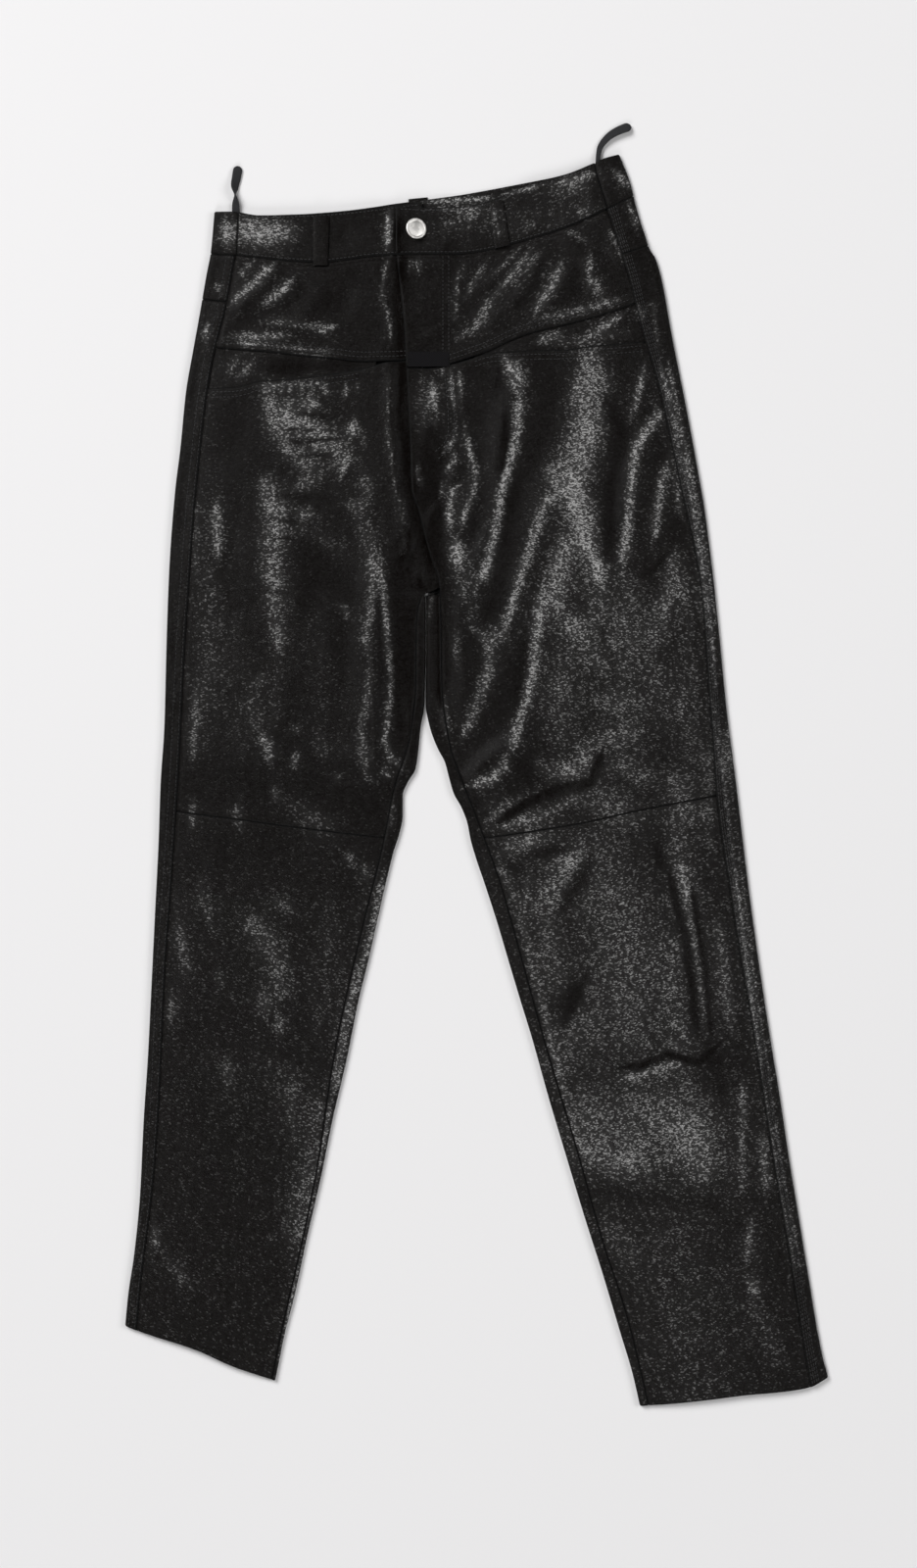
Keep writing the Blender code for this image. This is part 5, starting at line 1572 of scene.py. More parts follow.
@dataclass(frozen=True)
class Leather(Finish):
    """Black leather with a fine pebbled grain; painted glints on its pebbles and a painted sheen stand for
    its highlights.
    """

    black: Colour = (0.0022, 0.0015, 0.0012, 1)
    painted_highlight_silver: Colour = (0.44, 0.435, 0.43, 1)
    flesh: Colour = (0.008, 0.008, 0.008, 1)
    pebble: float = 1.2
    pebble_stretch: tuple[float, float, float] = (0.8, 1.3, 1.0)
    pebble_height: float = 0.14
    pebble_edge: float = 0.3
    sway: float = 2.4
    sway_size: float = 9.0
    patch_stretch: tuple[float, float, float] = (1.0, 0.35, 1.0)
    patches: tuple[float, float, float] = (6.0, 0.9, 0.55)  # size, contrast and least of the painted sheen
    painted_glint_edge: tuple[float, float] = (0.38, 0.25)  # softness of the painted glints where the painted sheen is faint, more where it is strong
    painted_glint_strength: tuple[float, float] = (0.17, 0.85)  # strength of the painted glints, in the same way
    painted_glow: tuple[float, float] = (0.03, 0.14)  # painted sheen on the ground between the pebbles
    stray: float = 0.012  # faint painted glints at random on dull leather
    pores: tuple[float, float] = (0.7, 0.02)  # size and depth
    crinkle: tuple[float, float] = (5.5, 0.15)
    wrinkle: tuple[float, float] = (16.0, 0.2)
    matte: float = 0.36
    gloss: float = 0.24
    pore_rough: float = 0.2
    raw_rough: float = 0.3
    hollow_smooth: float = 0.2
    raw_metal: float = 0.7
    covered: float = 0.95
    reflects: float = 0.06
    in_gaps: float = 0.4  # share of the painted glint that is left between the pebbles
    dull_height: float = 0.4  # share of their height where the leather is dull

    def make(self, graph: Graph) -> bpy.types.Material:
        """Builds pebbles in swaying rows; more of them get painted glints the more painted sheen there is,
        and painted shade darkens the hollows.

        Args:
            graph: of the new material.

        Returns:
            The material.
        """
        cloth, lining, painted = graph.cloth(), graph.field(LINING), graph.field(PAINTED_SHEEN_FIELD)
        size, contrast, least = self.patches
        patches = graph.vector("MULTIPLY", cloth, self.patch_stretch)
        patchy = graph.noise(patches, size, detail=3.0, roughness=0.6)
        # The painted field: below 0 it is painted shade in hollows, above 0 painted sheen.
        painted_hollow_shade = (painted * -1.0).above(0.0)
        painted_sheen = painted.above(0.0) * (patchy * contrast + least) * (1.0 - lining)
        sway = graph.noise(cloth, self.sway_size, output="Color")
        sway = graph.vector("SUBTRACT", sway, (0.5, 0.5, 0.5))
        sway = graph.vector("MULTIPLY", sway, (self.sway, self.sway, 0.0))
        warped = graph.vector("ADD", cloth, sway)
        rows = graph.vector("MULTIPLY", warped, self.pebble_stretch)
        dome = graph.cells(rows, self.pebble, "DISTANCE_TO_EDGE", "Distance")
        dome = dome.between(0.0, self.pebble_edge)
        colour = graph.cells(rows, self.pebble, "F1", "Color")
        chance = graph.node("ShaderNodeSeparateColor", {}, {0: colour}, 0)
        edge = painted_sheen * self.painted_glint_edge[1] + self.painted_glint_edge[0]
        painted_glint = ((chance + painted_sheen * self.covered - 1.0) / edge).between(0.0, 1.0)
        painted_glint = painted_glint * (dome * (1 - self.in_gaps) + self.in_gaps)
        painted_glint = painted_glint * (painted_sheen * self.painted_glint_strength[1] + self.painted_glint_strength[0])
        painted_glow = painted_sheen * (painted_sheen * self.painted_glow[1] + self.painted_glow[0])
        painted_glint = (painted_glint + painted_glow + chance * self.stray) * (1.0 - painted_hollow_shade)
        pore = graph.noise(warped, self.pores[0])
        crinkle = graph.noise(warped, self.crinkle[0], detail=3.0, roughness=0.6)
        wrinkle = graph.noise(cloth, self.wrinkle[0], detail=3.0, roughness=0.55)
        height = dome * (painted_sheen + self.dull_height) * self.pebble_height + pore * self.pores[1]
        height = height + crinkle * self.crinkle[1] + wrinkle * self.wrinkle[1]
        rough = painted_sheen * (self.gloss - self.matte) + self.matte + (pore - 0.5) * self.pore_rough
        # Base colour: black, mixed towards silver by painted glints and painted sheen, and darkened by
        # painted shade in the hollows.
        graph.feed(
            Base_Color=graph.mix(painted_glint, graph.mix(lining, self.black, self.flesh), self.painted_highlight_silver),
            Roughness=rough + lining * self.raw_rough - painted_hollow_shade * self.hollow_smooth,
            Metallic=lining * self.raw_metal,
            Specular_IOR_Level=self.reflects,
            Normal=graph.bump(height),
        )
        return graph.material


@dataclass(frozen=True)
class Woven(Finish):
    """Plain weave or ribbed tape."""

    colour: Colour
    yarns: tuple[float, float]
    depth: float = 0.08
    rough: float = 0.7
    reflects: float = 0.08
    shadow: float = 0.45
    shading: tuple[float, float, float] = (0.25, 0.4, 0.6)  # of the threads, of the fuzz, and least
    shades: tuple[float, float] = (0.2, 1.3)  # from the darkest to the palest
    fuzz: tuple[float, float] = (1.6, 0.1)  # size and depth

    def make(self, graph: Graph) -> bpy.types.Material:
        """Builds threads of the given widths, across and along, that pass over each other.

        Args:
            graph: of the new material.

        Returns:
            The material.
        """
        parts = graph.node("ShaderNodeSeparateXYZ", {}, {0: graph.cloth()}, 0).socket.node
        over, under = ((Value(graph, parts.outputs[k]) * (math.pi / yarn)).wave()
                       for k, yarn in enumerate(self.yarns))
        weave = over * under
        soft = graph.noise(graph.cloth(), self.fuzz[0])
        threads, fuzz, least = self.shading
        shade = (weave * threads + least + soft * fuzz).between(*self.shades)
        graph.feed(
            Base_Color=graph.mix(shade, dimmed(self.colour, self.shadow), self.colour),
            Roughness=self.rough,
            Specular_IOR_Level=self.reflects,
            Normal=graph.bump(weave * self.depth + soft * self.fuzz[1]),
        )
        return graph.material


@dataclass(frozen=True)
class Thread(Finish):
    """Black polyester thread."""

    colour: Colour = (0.014, 0.014, 0.015, 1)
    twist: tuple[float, float] = (0.5, 0.1)  # size and depth
    rough: tuple[float, float] = (0.45, 0.2)  # least, and what the twist adds

    def make(self, graph: Graph) -> bpy.types.Material:
        """Builds the twist of the thread."""
        twist = graph.noise(graph.place(), self.twist[0])
        graph.feed(Base_Color=self.colour, Roughness=twist * self.rough[1] + self.rough[0],
                   Normal=graph.bump(twist * self.twist[1]))
        return graph.material


@dataclass(frozen=True)
class Metal(Finish):
    """Brushed, lightly scuffed nickel."""

    colour: Colour = (0.95, 0.93, 0.90, 1)
    tarnished: float = 0.7
    tarnish: tuple[float, float] = (0.35, 0.7)  # of the noise
    brushed: tuple[float, float, float] = (1.0, 3.0, 1.0)
    scuffs: tuple[float, float] = (0.8, 0.02)  # size and depth
    rough: tuple[float, float] = (0.44, 0.18)  # least, and what the scuffs add

    def make(self, graph: Graph) -> bpy.types.Material:
        """Builds faint scuffs and tarnish.

        Args:
            graph: of the new material.

        Returns:
            The material.
        """
        size, depth = self.scuffs
        scuff = graph.noise(graph.place(self.brushed), size, detail=4.0, roughness=0.7)
        tarnish = graph.noise(graph.place(), 4.0, detail=3.0).between(*self.tarnish)
        colour = graph.mix(tarnish, self.colour, dimmed(self.colour, self.tarnished))
        graph.feed(Base_Color=colour, Metallic=1.0, Roughness=scuff * self.rough[1] + self.rough[0],
                   Normal=graph.bump(scuff * depth))
        return graph.material


@dataclass(frozen=True)
class Paper(Finish):
    """The pale, even surface that the trousers lie on."""

    colour: Colour = (0.81, 0.803, 0.808, 1)
    tooth: tuple[float, float] = (3.0, 0.01)  # size and depth
    rough: float = 0.9

    def make(self, graph: Graph) -> bpy.types.Material:
        """Builds a matt surface with hardly any tooth."""
        size, depth = self.tooth
        tooth = graph.noise(graph.place(), size)
        graph.feed(Base_Color=self.colour, Roughness=self.rough, Normal=graph.bump(tooth * depth))
        return graph.material


LEATHER = Leather("pebbled_leather")
TAPE = Woven("satin_tape", (0.035, 0.035, 0.038, 1), (0.9, 0.45), 0.10, 0.55)
WOVEN_TAB = Woven("woven_tab", (0.008, 0.0075, 0.0085, 1), (0.9, 1.1), 0.12, 0.8)
THREAD = Thread("sewing_thread")
METAL = Metal("nickel")
PAPER = Paper("paper")


@dataclass(frozen=True)
class PaintedSheen:
    """Painted sheen on the leather's colour, as soft streaks over a dull ground, with painted shade in
    troughs and hollows.
    """

    streaks: Rows
    ground: tuple[float, float] = (0.08, 0.17)  # painted sheen everywhere, above the knees and below them
    knee: tuple[float, float] = (-10.0, -130.0)
    halo: tuple[float, float] = (5.0, 1.4)  # a fainter painted glow is this much wider, and this many times
    halo_share: float = 0.22
    taper: float = 12.0  # a streak narrows to each end over its width and this, or a third of it
    end: tuple[float, float] = (0.35, 0.85)  # share of it that is left there, thin and wide
    plain: float = 11.0

    def at(self, x: Array, y: Array) -> Array:
        """Amount of painted sheen at each place.

        Args:
            x: places.
            y: places.

        Returns:
            From 0 to 1 for painted sheen: 1 less the product of what each streak leaves dull, cut down
            by painted shade in the troughs, whose amount is below 0; and down to -1 for painted shade in
            hollows, whose amount is below -1.
        """
        low = ease((self.knee[0] - y) / (self.knee[0] - self.knee[1]))
        dull = 1 - self.ground[0] - (self.ground[1] - self.ground[0]) * low
        kept, painted_hollow_shade = np.ones_like(x), np.zeros_like(x)
        for width, amount, *line in self.streaks:
            points = np.array(line, float).reshape(-1, 2)
            glow_width = width * self.halo[1] + self.halo[0]
            least, most = points.min(axis=0) - 2 * glow_width, points.max(axis=0) + 2 * glow_width
            near = (x > least[0]) & (x < most[0]) & (y > least[1]) & (y < most[1])
            if not near.any():
                continue
            away, to_end, length = self.beside(np.stack([x[near], y[near]], axis=1), points)
            taper = min(width + self.taper, length / 3)
            end = min(max(width / self.plain, self.end[0]), self.end[1])
            full = end + (1 - end) * ease(to_end / taper)
            core, painted_glow = bell(away, width * full), bell(away, glow_width)
            # Rows below 0 are painted shade: they dim the painted sheen, and below -1 darken the colour.
            if amount < 0:
                kept[near] *= 1 + max(amount, -1) * full * core
                painted_hollow_shade[near] = np.maximum(painted_hollow_shade[near], (-1 - amount) * full * core)
            else:
                dull[near] *= 1 - amount * full * (core + self.halo_share * (painted_glow - core))
        return (1 - dull) * kept - painted_hollow_shade

    @staticmethod
    def beside(place: Array, points: Array) -> tuple[Array, Array, float]:
        """Measures how places lie to a line.

        Args:
            place: the places.
            points: of the line.

        Returns:
            Distance to the line, how far from its ends that is measured, and the line's length.
        """
        nearest, to_end, walked = np.full(len(place), np.inf), np.zeros(len(place)), walk(points)
        for k, (start, end) in enumerate(zip(points[:-1], points[1:])):
            way = end - start
            ahead = np.clip((place - start) @ way / (way @ way), 0, 1)
            away = np.linalg.norm(place - start - ahead[:, None] * way, axis=1)
            here = walked[k] + ahead * (walked[k + 1] - walked[k])
            to_end = np.where(away < nearest, np.minimum(here, walked[-1] - here), to_end)
            nearest = np.minimum(nearest, away)
        return nearest, to_end, float(walked[-1])


PAINTED_SHEEN = PaintedSheen(PAINTED_SHEEN_STREAKS)


# --- sewing and trim -------------------------------------------------------------------------


def leather(name: str, form: Form, over: Array, ahead: Array, *below: str, wall: float = WALL,
            faced: bool = False) -> None:
    """Makes a leather panel that rests on the pieces below."""
    Sheet(name, form, over, ahead, LEATHER, wall, "leather", below, faced).build()


@dataclass
class Stitching:
    """Rows of stitches, each a small lens of thread, joined in one mesh."""

    name: str
    rows: list[Array] = field(default_factory=list)
    pitch: float = 3.3
    length: float = 2.5
    radius: float = 0.3
    shoulder: float = 0.66  # share of the half length that is at full thickness
    proud: float = 0.08
    sides: int = 5
    row_points: int = 40

    def sew(self, form: Form, path: Array) -> None:
        """Adds a row that follows a path of two shares on the face of a panel."""
        self.rows.append(form.surface(path[:, 0], path[:, 1]))

    def lay(self, places: Rows) -> None:
        """Adds a row through places x, y on the top of the cloth."""
        x, y = swept(places, self.row_points * len(places))
        self.rows.append(np.stack([x, y, LIE.height(x, y)], axis=-1))

    def stations(self) -> tuple[Array, Array]:
        """Spaces the stitches along their rows.

        Returns:
            Middles of all stitches, and the ways that they lie.
        """
        middles, ways = [], []
        for row in self.rows:
            walked = walk(row)
            count = max(1, int(walked[-1] / self.pitch))
            at = (np.arange(count) + 0.5) * walked[-1] / count
            before, middle, after = (
                np.stack([np.interp(at + shift, walked, row[:, k]) for k in range(3)], axis=-1)
                for shift in (-1.0, 0.0, 1.0)
            )
            middles.append(middle)
            ways.append((after - before) / np.linalg.norm(after - before, axis=1, keepdims=True))
        return np.concatenate(middles), np.concatenate(ways)

    def build(self) -> None:
        """Makes the stitches: two rings and two points to each."""
        middles, ways = self.stations()
        aside = np.cross((0, 0, 1), ways)
        aside /= np.linalg.norm(aside, axis=1, keepdims=True)
        axes = np.stack([ways, aside, np.cross(ways, aside)])
        turn = 2 * math.pi * np.arange(self.sides) / self.sides
        ring = self.radius * np.stack([0 * turn, np.cos(turn), np.sin(turn)], axis=1)
        half, shoulder = self.length / 2, (self.shoulder * self.length / 2, 0, 0)
        lens = np.concatenate([ring - shoulder, ring + shoulder, [(-half, 0, 0), (half, 0, 0)]])
        points = middles[:, None] + np.einsum("pk,kij->ipj", lens + (0, 0, self.proud), axes)
        every = turned_faces(2, self.sides) + len(lens) * np.arange(len(middles))[:, None, None]
        piece = as_mesh(self.name, points.reshape(-1, 3), every.reshape(-1, 4))
        piece.data.materials.append(THREAD.material)
        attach(piece, BODY)
        LOG.info("%s: %d stitches", self.name, len(middles))


@dataclass(frozen=True)
class Strap(Form):
    """A short strap on top of the cloth: rounded across, with its ends pressed down."""

    plan: Patch
    clear: float
    belly: float = 0.5
    rounded: float = 0.45
    pressed: float = 0.16  # share of its length that slopes down at each end
    level: bool = False

    def surface(self, s: Array, t: Array) -> Array:
        """Lays the strap over the cloth.

        Args:
            s: shares across.
            t: shares down.

        Returns:
            Points of its upper face.
        """
        place = self.plan.place(s, t)
        x, y = place[..., 0], place[..., 1]
        z = self.clear + self.belly * ease(np.minimum(t, 1 - t) / self.pressed)
        return np.stack([x, y, z if self.level else z + LIE.height(x, y)], axis=-1)

    def worn(self, s: Array, t: Array) -> Array:
        """Rounding of its long edges."""
        return self.rounded * np.abs(2 * s - 1) ** 4

    def raw(self, s: Array, t: Array) -> Array:
        """Its edges are turned in."""
        return np.zeros_like(s)


@dataclass(frozen=True)
class Hanger:
    """A doubled satin tape that stands out of the band and twists on its way."""

    name: str
    rows: Rows
    wall: float = 1.5
    thinned: float = 0.55  # share of the wall that is missing at the long edges
    roundness: float = 0.95  # of the tip; 1 would bring it to a point
    steps: int = 96
    columns: int = 8

    def build(self) -> None:
        """Makes the tape along its rows of x, y, lowest height, width and twist."""
        x, y, low, width, twist = swept(self.rows, self.steps)
        to_tip = np.hypot(x - x[-1], y - y[-1])
        width = width * np.sqrt(1 - np.clip(1 - 2 * to_tip / width, 0, self.roundness) ** 2)
        sine, cosine, up = np.sin(np.radians(twist)), np.cos(np.radians(twist)), np.array((0, 0, 1))
        forward = np.stack([np.gradient(x), np.gradient(y), np.zeros_like(x)], axis=1)
        forward /= np.linalg.norm(forward, axis=1, keepdims=True)
        side = cosine[:, None] * np.cross(forward, up) + sine[:, None] * up
        half = (width * np.abs(sine) + self.wall * np.abs(cosine)) / 2
        middle = np.stack([x, y, low + half], axis=1)
        over = np.linspace(-1, 1, self.columns + 1)
        out = width[:, None] / 2 * over
        thick = self.wall / 2 * (1 - self.thinned * over**6)
        flat = middle[:, None] + side[:, None] * out[..., None]
        face = np.cross(side, forward)[:, None] * thick[None, :, None]
        uv = np.stack(np.broadcast_arrays(out, walk(middle)[:, None]), axis=-1).reshape(-1, 2)
        piece = walled(f"{self.name}_tape", np.stack([flat + face, flat - face]), uv)
        dress(piece, TAPE, self.name)
        LOG.info("%s: %.0f mm long", self.name, walk(middle)[-1])


@dataclass(frozen=True)
class Button:
    """A bare turned metal button, tilted on its shank."""

    name: str = "button"
    sides: int = 72
    # From the middle of the crown out and down to the foot of the shank: radius, height.
    outline: Rows = (
        (1.2, 3.38), (2.6, 3.34), (4.4, 3.20), (5.7, 3.02), (6.3, 2.86), (6.6, 2.78), (6.9, 2.84),
        (7.2, 3.02), (7.6, 3.16), (8.0, 3.18), (8.4, 3.08), (8.7, 2.82), (8.85, 2.45), (8.75, 2.1),
        (8.4, 1.85), (7.6, 1.7), (3.6, 1.5), (3.0, 1.3), (3.0, 0.0),
    )
    crown: float = 3.4

    def build(self) -> None:
        """Turns the outline, tilts it and stands it on the band."""
        turn = 2 * math.pi * np.arange(self.sides) / self.sides
        radius, level = np.array(self.outline).T[..., None]
        rings = np.stack(np.broadcast_arrays(radius * np.cos(turn), radius * np.sin(turn), level), axis=-1)
        points = np.concatenate([rings.reshape(-1, 3), [(0, 0, self.crown), (0, 0, 0)]])
        swing = Matrix.Rotation(BUTTON_HEADING, 3, "Z") @ Matrix.Rotation(BUTTON_TILT, 3, "Y")
        x, y = BUTTON_PLACE
        base = float(LIE.height(np.array([x]), np.array([y]))[0])
        base += SEAM_GAP + self.outline[-1][0] * math.sin(BUTTON_TILT)
        piece = as_mesh(f"{self.name}_turned", points @ np.array(swing).T + (x, y, base),
                        turned_faces(len(radius), self.sides))
        piece.data.set_sharp_from_angle(angle=SHARP)
        dress(piece, METAL, self.name)
        LOG.info("%s: %.1f mm across", self.name, 2 * radius.max())


# --- the garment -----------------------------------------------------------------------------


@dataclass(frozen=True)
class Leg:
    """One leg: back yoke and back leg, front yoke, pocket facing, thigh and shin."""

    side: str
    plan: LegPlan
    yoke_seam: Rows
    pocket_lip: Rows
    knee_seam: Rows
    facing_end: float
    centre_edge: Edge
    sinks: Surface | None = None

    def wrap(self, first: int, last: int) -> Wrap:
        """Form of the back between two stations."""
        low = Edge.CUT if last == HEM_STATION else Edge.BUTT
        return Wrap(self.plan, self.plan.span(first, last), (Edge.OVER, Edge.BUTT, Edge.BUTT, low))

    def lid(self, upper: Rows, lower: Rows, top: Edge, bottom: Edge) -> Lid:
        """Makes the form of a front panel; the shin has no part at the centre front.

        Args:
            upper: the (x, y) rows of its top.
            lower: the (x, y) rows of its bottom.
            top: how the top ends.
            bottom: how the bottom ends.

        Returns:
            The form.
        """
        above = UNDERLAP if top is Edge.UNDER else -SEAM_GAP / 2
        plan = self.plan.front(upper, lower, (UNDERLAP, above, -SEAM_GAP / 2))
        if lower is self.plan.hem:
            return Lid(plan, (Edge.UNDER, Edge.BUTT, top, bottom))
        return Lid(plan, (Edge.UNDER, self.centre_edge, top, bottom), self.sinks, Edge.BUTT)

    def facing(self) -> Lid:
        """Makes the form of the wedge that shows between the yoke and the pocket's lip.

        Returns:
            The form, a layer below the top of the cloth.
        """
        seam = self.plan.side(np.linspace(0, HEM_STATION, HEM_STATION * LINE_POINTS), UNDERLAP)
        top_y, low_y = (np.interp(0, smooth(rows, seam[:, 0]) - seam[:, 1], seam[:, 1])
                        for rows in (self.yoke_seam, self.pocket_lip))
        heights = np.linspace(top_y + FACING_TOP_LAP, low_y - POCKET_UNDERLAP, LINE_POINTS)
        outer = np.stack([np.interp(-heights, -seam[:, 1], seam[:, 0]), heights], axis=1)
        top = across(self.yoke_seam, outer[0, 0], self.facing_end, FACING_TOP_LAP)
        bottom = across(self.pocket_lip, outer[-1, 0], self.facing_end, -POCKET_UNDERLAP)
        plan = Patch(top, bottom, outer, np.linspace(top[-1], bottom[-1], LINE_POINTS))
        return Lid(plan, (Edge.CUT,) * 4, lambda x, y: np.full_like(x, LAYER_STEP))

    def sew(self, forms: dict[str, Form]) -> Stitching:
        """Topstitches the side strips, the yoke seam and the pocket's lip.

        Args:
            forms: the panels' forms by name.

        Returns:
            The rows of stitches.
        """
        sewing = Stitching(f"stitches_{self.side}")
        for panel in ("back_yoke", "back_leg"):
            wrap = forms[panel]
            t = np.linspace(*SIDE_ROW_SPAN, SIDE_ROW_POINTS)
            inset = wrap.plan.insets(wrap.rows(t))[0] - SEAM_GAP / 2
            for distance in SIDE_ROWS + (LEFT_EXTRA_ROWS if self.side == "left" else ()):
                sewing.sew(wrap, np.stack([distance / (inset - FOLD_RADIUS), t], axis=1))
        for panel, border, distances, span in (
            ("front_yoke", 3, YOKE_ROWS, YOKE_ROW_SPAN),
            ("front_thigh", 2, LIP_ROWS, LIP_ROW_SPAN),
        ):
            for distance in distances:
                sewing.sew(forms[panel], forms[panel].parallel(border, distance, *span))
        return sewing

    def build(self) -> None:
        """Makes the panels and their topstitching."""
        forms = {
            "back_yoke": self.wrap(0, YOKE_STATION),
            "back_leg": self.wrap(YOKE_STATION, HEM_STATION),
            "pocket_facing": self.facing(),
            "front_yoke": self.lid(WAIST_SEAM, self.yoke_seam, Edge.UNDER, Edge.OVER),
            "front_thigh": self.lid(self.pocket_lip, self.knee_seam, Edge.OVER, Edge.BUTT),
            "front_shin": self.lid(self.knee_seam, self.plan.hem, Edge.BUTT, Edge.CUT),
        }
        path = wrapped_path(*LEG_PATH)
        for name, over, ahead, below in (  # and the lengths that their points are spaced for
            ("back_yoke", path, stops(45, CELL), ()),
            ("back_leg", path, stops(920, CELL), ()),
            ("pocket_facing", stops(130, 3.0), shares(16), ("back_leg",)),
            ("front_yoke", stops(170, CELL), stops(90, CELL), ("back_yoke", "pocket_facing")),
            ("front_thigh", stops(200, CELL), stops(370, CELL), ("back_leg", "pocket_facing")),
            ("front_shin", stops(160, CELL), stops(450, CELL), ("back_leg",)),
        ):
            under = (f"{piece}_{self.side}" for piece in below)
            leather(f"{name}_{self.side}", forms[name], over, ahead, *under)
        self.sew(forms).build()


def wrapped_path(strip: int, fold: int, surface: int, inner_strip: int) -> Array:
    """Stops along a wrapped panel, with that many cells on each stretch.

    Args:
        strip: cells on the outer strip on top, closer together by its edge.
        fold: cells round each fold.
        surface: cells along the surface.
        inner_strip: cells on the inner strip.

    Returns:
        Places along the path, from 0 to 5.
    """
    crowded = shares(strip) ** 1.5
    inner = 1 - shares(inner_strip)[::-1] ** 1.5
    return np.concatenate([[0], crowded[1:], 1 + shares(fold)[1:], 2 + shares(surface)[1:],
                           3 + shares(fold)[1:], 4 + inner[1:]])


@dataclass(frozen=True)
class Waistband:
    """The band: a back that wraps round both sides, and two fronts that meet at the button."""

    plan: BandPlan = field(default_factory=BandPlan.cut)

    def fronts(self) -> dict[str, Lid]:
        """Makes the forms of the two front pieces, the right of which goes on under the left.

        Returns:
            The forms by side.
        """
        v = shares(LINE_POINTS - 1)
        right_side, left_side = (self.plan.beside(v, end, -SEAM_GAP / 2) for end in (0, 1))
        fly_x = FLY_EDGE[0][1]
        lap_x = fly_x + BUTTON_LAP
        slope = (0, -BUTTON_LAP_DROP) * v[:, None]
        right_top = across(BACK_TOP, right_side[0, 0], lap_x) + slope
        right_low = across(WAIST_SEAM, right_side[-1, 0], lap_x, SEAM_GAP / 2)
        left_top = across(LEFT_FRONT_TOP, fly_x, left_side[0, 0])
        left_low = across(WAIST_SEAM, fly_x, left_side[-1, 0], SEAM_GAP / 2)
        lap_end = np.linspace(right_top[-1], right_low[-1], LINE_POINTS)
        fly_end = np.linspace(left_top[0], left_low[0], LINE_POINTS)
        return {
            "right": Lid(Patch(right_top, right_low, right_side, lap_end),
                         (Edge.BUTT, Edge.CUT, Edge.CUT, Edge.OVER), under_fly),
            "left": Lid(Patch(left_top, left_low, fly_end, left_side),
                        (Edge.CUT, Edge.BUTT, Edge.CUT, Edge.OVER)),
        }

    def build(self) -> None:
        """Makes the band and its topstitching."""
        back = Wrap(self.plan, (0.0, 1.0), (Edge.BUTT, Edge.BUTT, Edge.CUT, Edge.BUTT))
        down_band = stops(36, 2.0)
        leather("waistband_back", back, wrapped_path(*BAND_PATH), down_band, faced=True)
        sewing = Stitching("stitches_band")
        for side, form in self.fronts().items():
            leather(f"waistband_front_{side}", form, stops(175, CELL), down_band, "waistband_back")
            for border in (2, 3):
                sewing.sew(form, form.parallel(border, BAND_ROW, *BAND_ROW_SPAN))
        sewing.build()


@dataclass(frozen=True)
class Trim:
    """Belt loops, the bare woven tab, hanger tapes, the fly's topstitching and the button."""

    tab_wall: float = 1.0
    flat_loop_wall: float = 1.1
    slack: float = 0.5  # more height where one piece lies on another

    def loops(self) -> None:
        """Makes the belt loops, of which the one at the back lies on the surface."""
        for side, corners in (("right", RIGHT_LOOP), ("left", LEFT_LOOP)):
            form = Strap(Patch.quad(corners), SEAM_GAP + WALL + self.slack)
            leather(f"belt_loop_{side}", form, stops(12, 1.2), stops(42, 1.5), f"waistband_front_{side}")
        flat = Strap(Patch.quad(BACK_LOOP), self.flat_loop_wall, belly=0.0, rounded=0.3, level=True)
        leather("belt_loop_back", flat, stops(16, 1.5), stops(46, 2.0), wall=self.flat_loop_wall)

    def build(self) -> None:
        """Makes all of the trim."""
        self.loops()
        clear = SEAM_GAP + self.tab_wall + self.slack
        tab = Strap(Patch.quad(LABEL_TAB), clear, belly=0.0, rounded=0.3)
        Sheet("label_tab", tab, stops(35, 1.2), stops(12, 1.0), WOVEN_TAB, self.tab_wall, "woven_label",
              ("front_yoke_left",)).build()
        sewing = Stitching("stitches_trim", length=2.2)
        for row in FLY_TOPSTITCH:
            sewing.lay(row)
        sewing.build()
        for side, rows in (("right", RIGHT_HANGER), ("left", LEFT_HANGER)):
            Hanger(f"hanger_loop_{side}", rows).build()
        Button().build()


# --- studio ----------------------------------------------------------------------------------


@dataclass(frozen=True)
class Lamp:
    """A soft panel aimed at the trousers."""

    name: str
    place: tuple[float, float, float]
    size: float
    power: float
    colour: tuple[float, float, float] = (1.0, 1.0, 1.0)

    def build(self) -> None:
        """Hangs the lamp."""
        light = bpy.data.lights.new(self.name, "AREA")
        light.shape, light.size = "SQUARE", self.size
        light.energy, light.color = self.power, self.colour
        lamp = bpy.data.objects.new(self.name, light)
        lamp.location = self.place
        lamp.rotation_euler = (-Vector(self.place)).to_track_quat("-Z", "Y").to_euler()
        bpy.context.scene.collection.objects.link(lamp)


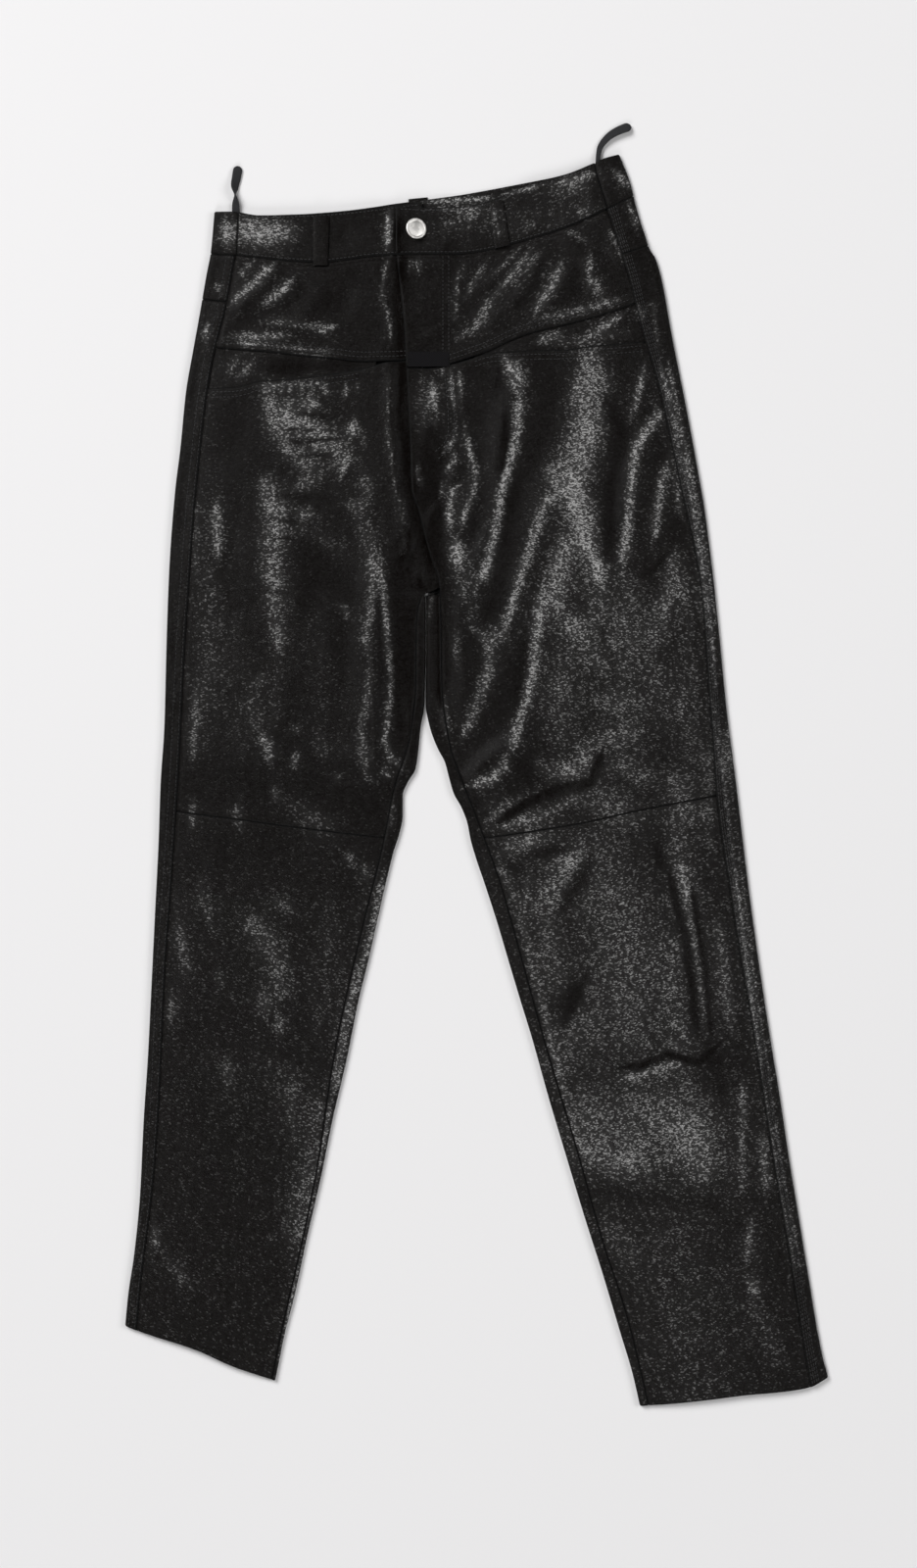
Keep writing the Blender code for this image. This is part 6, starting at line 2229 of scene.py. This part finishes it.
@dataclass(frozen=True)
class Studio:
    """A pale floor, soft lamps and a camera that looks straight down."""

    middle: tuple[float, float] = (-0.0152, -0.0172)
    lens: float = 85.0
    sensor: float = 36.0
    tall: float = 1.312
    floor: float = 16.0
    drop: float = 0.3  # the floor lies this far below the trousers
    sky: float = 0.06
    lamps: tuple[Lamp, ...] = (
        Lamp("key", (-2.9, 2.7, 4.2), 3.0, 300.0),
        Lamp("fill", (4.0, 0.3, 3.4), 2.4, 92.0),
        Lamp("foot", (-0.6, -4.4, 3.2), 2.4, 92.0),
    )

    def build(self) -> None:
        """Makes the camera first, then the floor, the sky and the lamps."""
        scene = bpy.context.scene
        scene.view_settings.view_transform = "Standard"
        camera = bpy.data.cameras.new("camera")
        camera.lens, camera.sensor_fit, camera.sensor_height = self.lens, "VERTICAL", self.sensor
        eye = bpy.data.objects.new("camera", camera)
        eye.location = (*self.middle, self.tall * self.lens / self.sensor)
        scene.collection.objects.link(eye)
        scene.camera = eye
        half = self.floor / 2
        mesh = bpy.data.meshes.new("floor")
        mesh.from_pydata([(-half, -half, 0), (half, -half, 0), (half, half, 0), (-half, half, 0)],
                         [], [(0, 1, 2, 3)])
        mesh.materials.append(PAPER.material)
        floor = bpy.data.objects.new("floor", mesh)
        floor.location = (0, 0, -self.drop * MM)
        scene.collection.objects.link(floor)
        world = bpy.data.worlds.new("sky")
        world.use_nodes = True
        world.node_tree.nodes["Background"].inputs["Color"].default_value = (1, 1, 1, 1)
        world.node_tree.nodes["Background"].inputs["Strength"].default_value = self.sky
        scene.world = world
        for lamp in self.lamps:
            lamp.build()


def main() -> None:
    """Builds the studio, the legs, the band and the trim around the frame."""
    logging.basicConfig(level=logging.INFO, format="%(message)s")
    for old in list(bpy.data.objects):
        bpy.data.objects.remove(old)
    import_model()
    Studio().build()
    Leg("right",
        LegPlan((RIGHT_OUTER, RIGHT_INNER), (RIGHT_SIDE_SEAM, RIGHT_INSIDE_SEAM), TUCKED_EDGE,
                RIGHT_STATIONS, RIGHT_HEM),
        RIGHT_YOKE_SEAM, RIGHT_POCKET_LIP, RIGHT_KNEE_SEAM, RIGHT_FACING_END, Edge.CUT,
        under_fly).build()
    Leg("left",
        LegPlan((LEFT_OUTER, LEFT_INNER), (LEFT_SIDE_SEAM, LEFT_INSIDE_SEAM), FLY_EDGE,
                LEFT_STATIONS, LEFT_HEM),
        LEFT_YOKE_SEAM, LEFT_POCKET_LIP, LEFT_KNEE_SEAM, LEFT_FACING_END, Edge.OVER).build()
    Waistband().build()
    Trim().build()


if __name__ == "__main__":
    main()
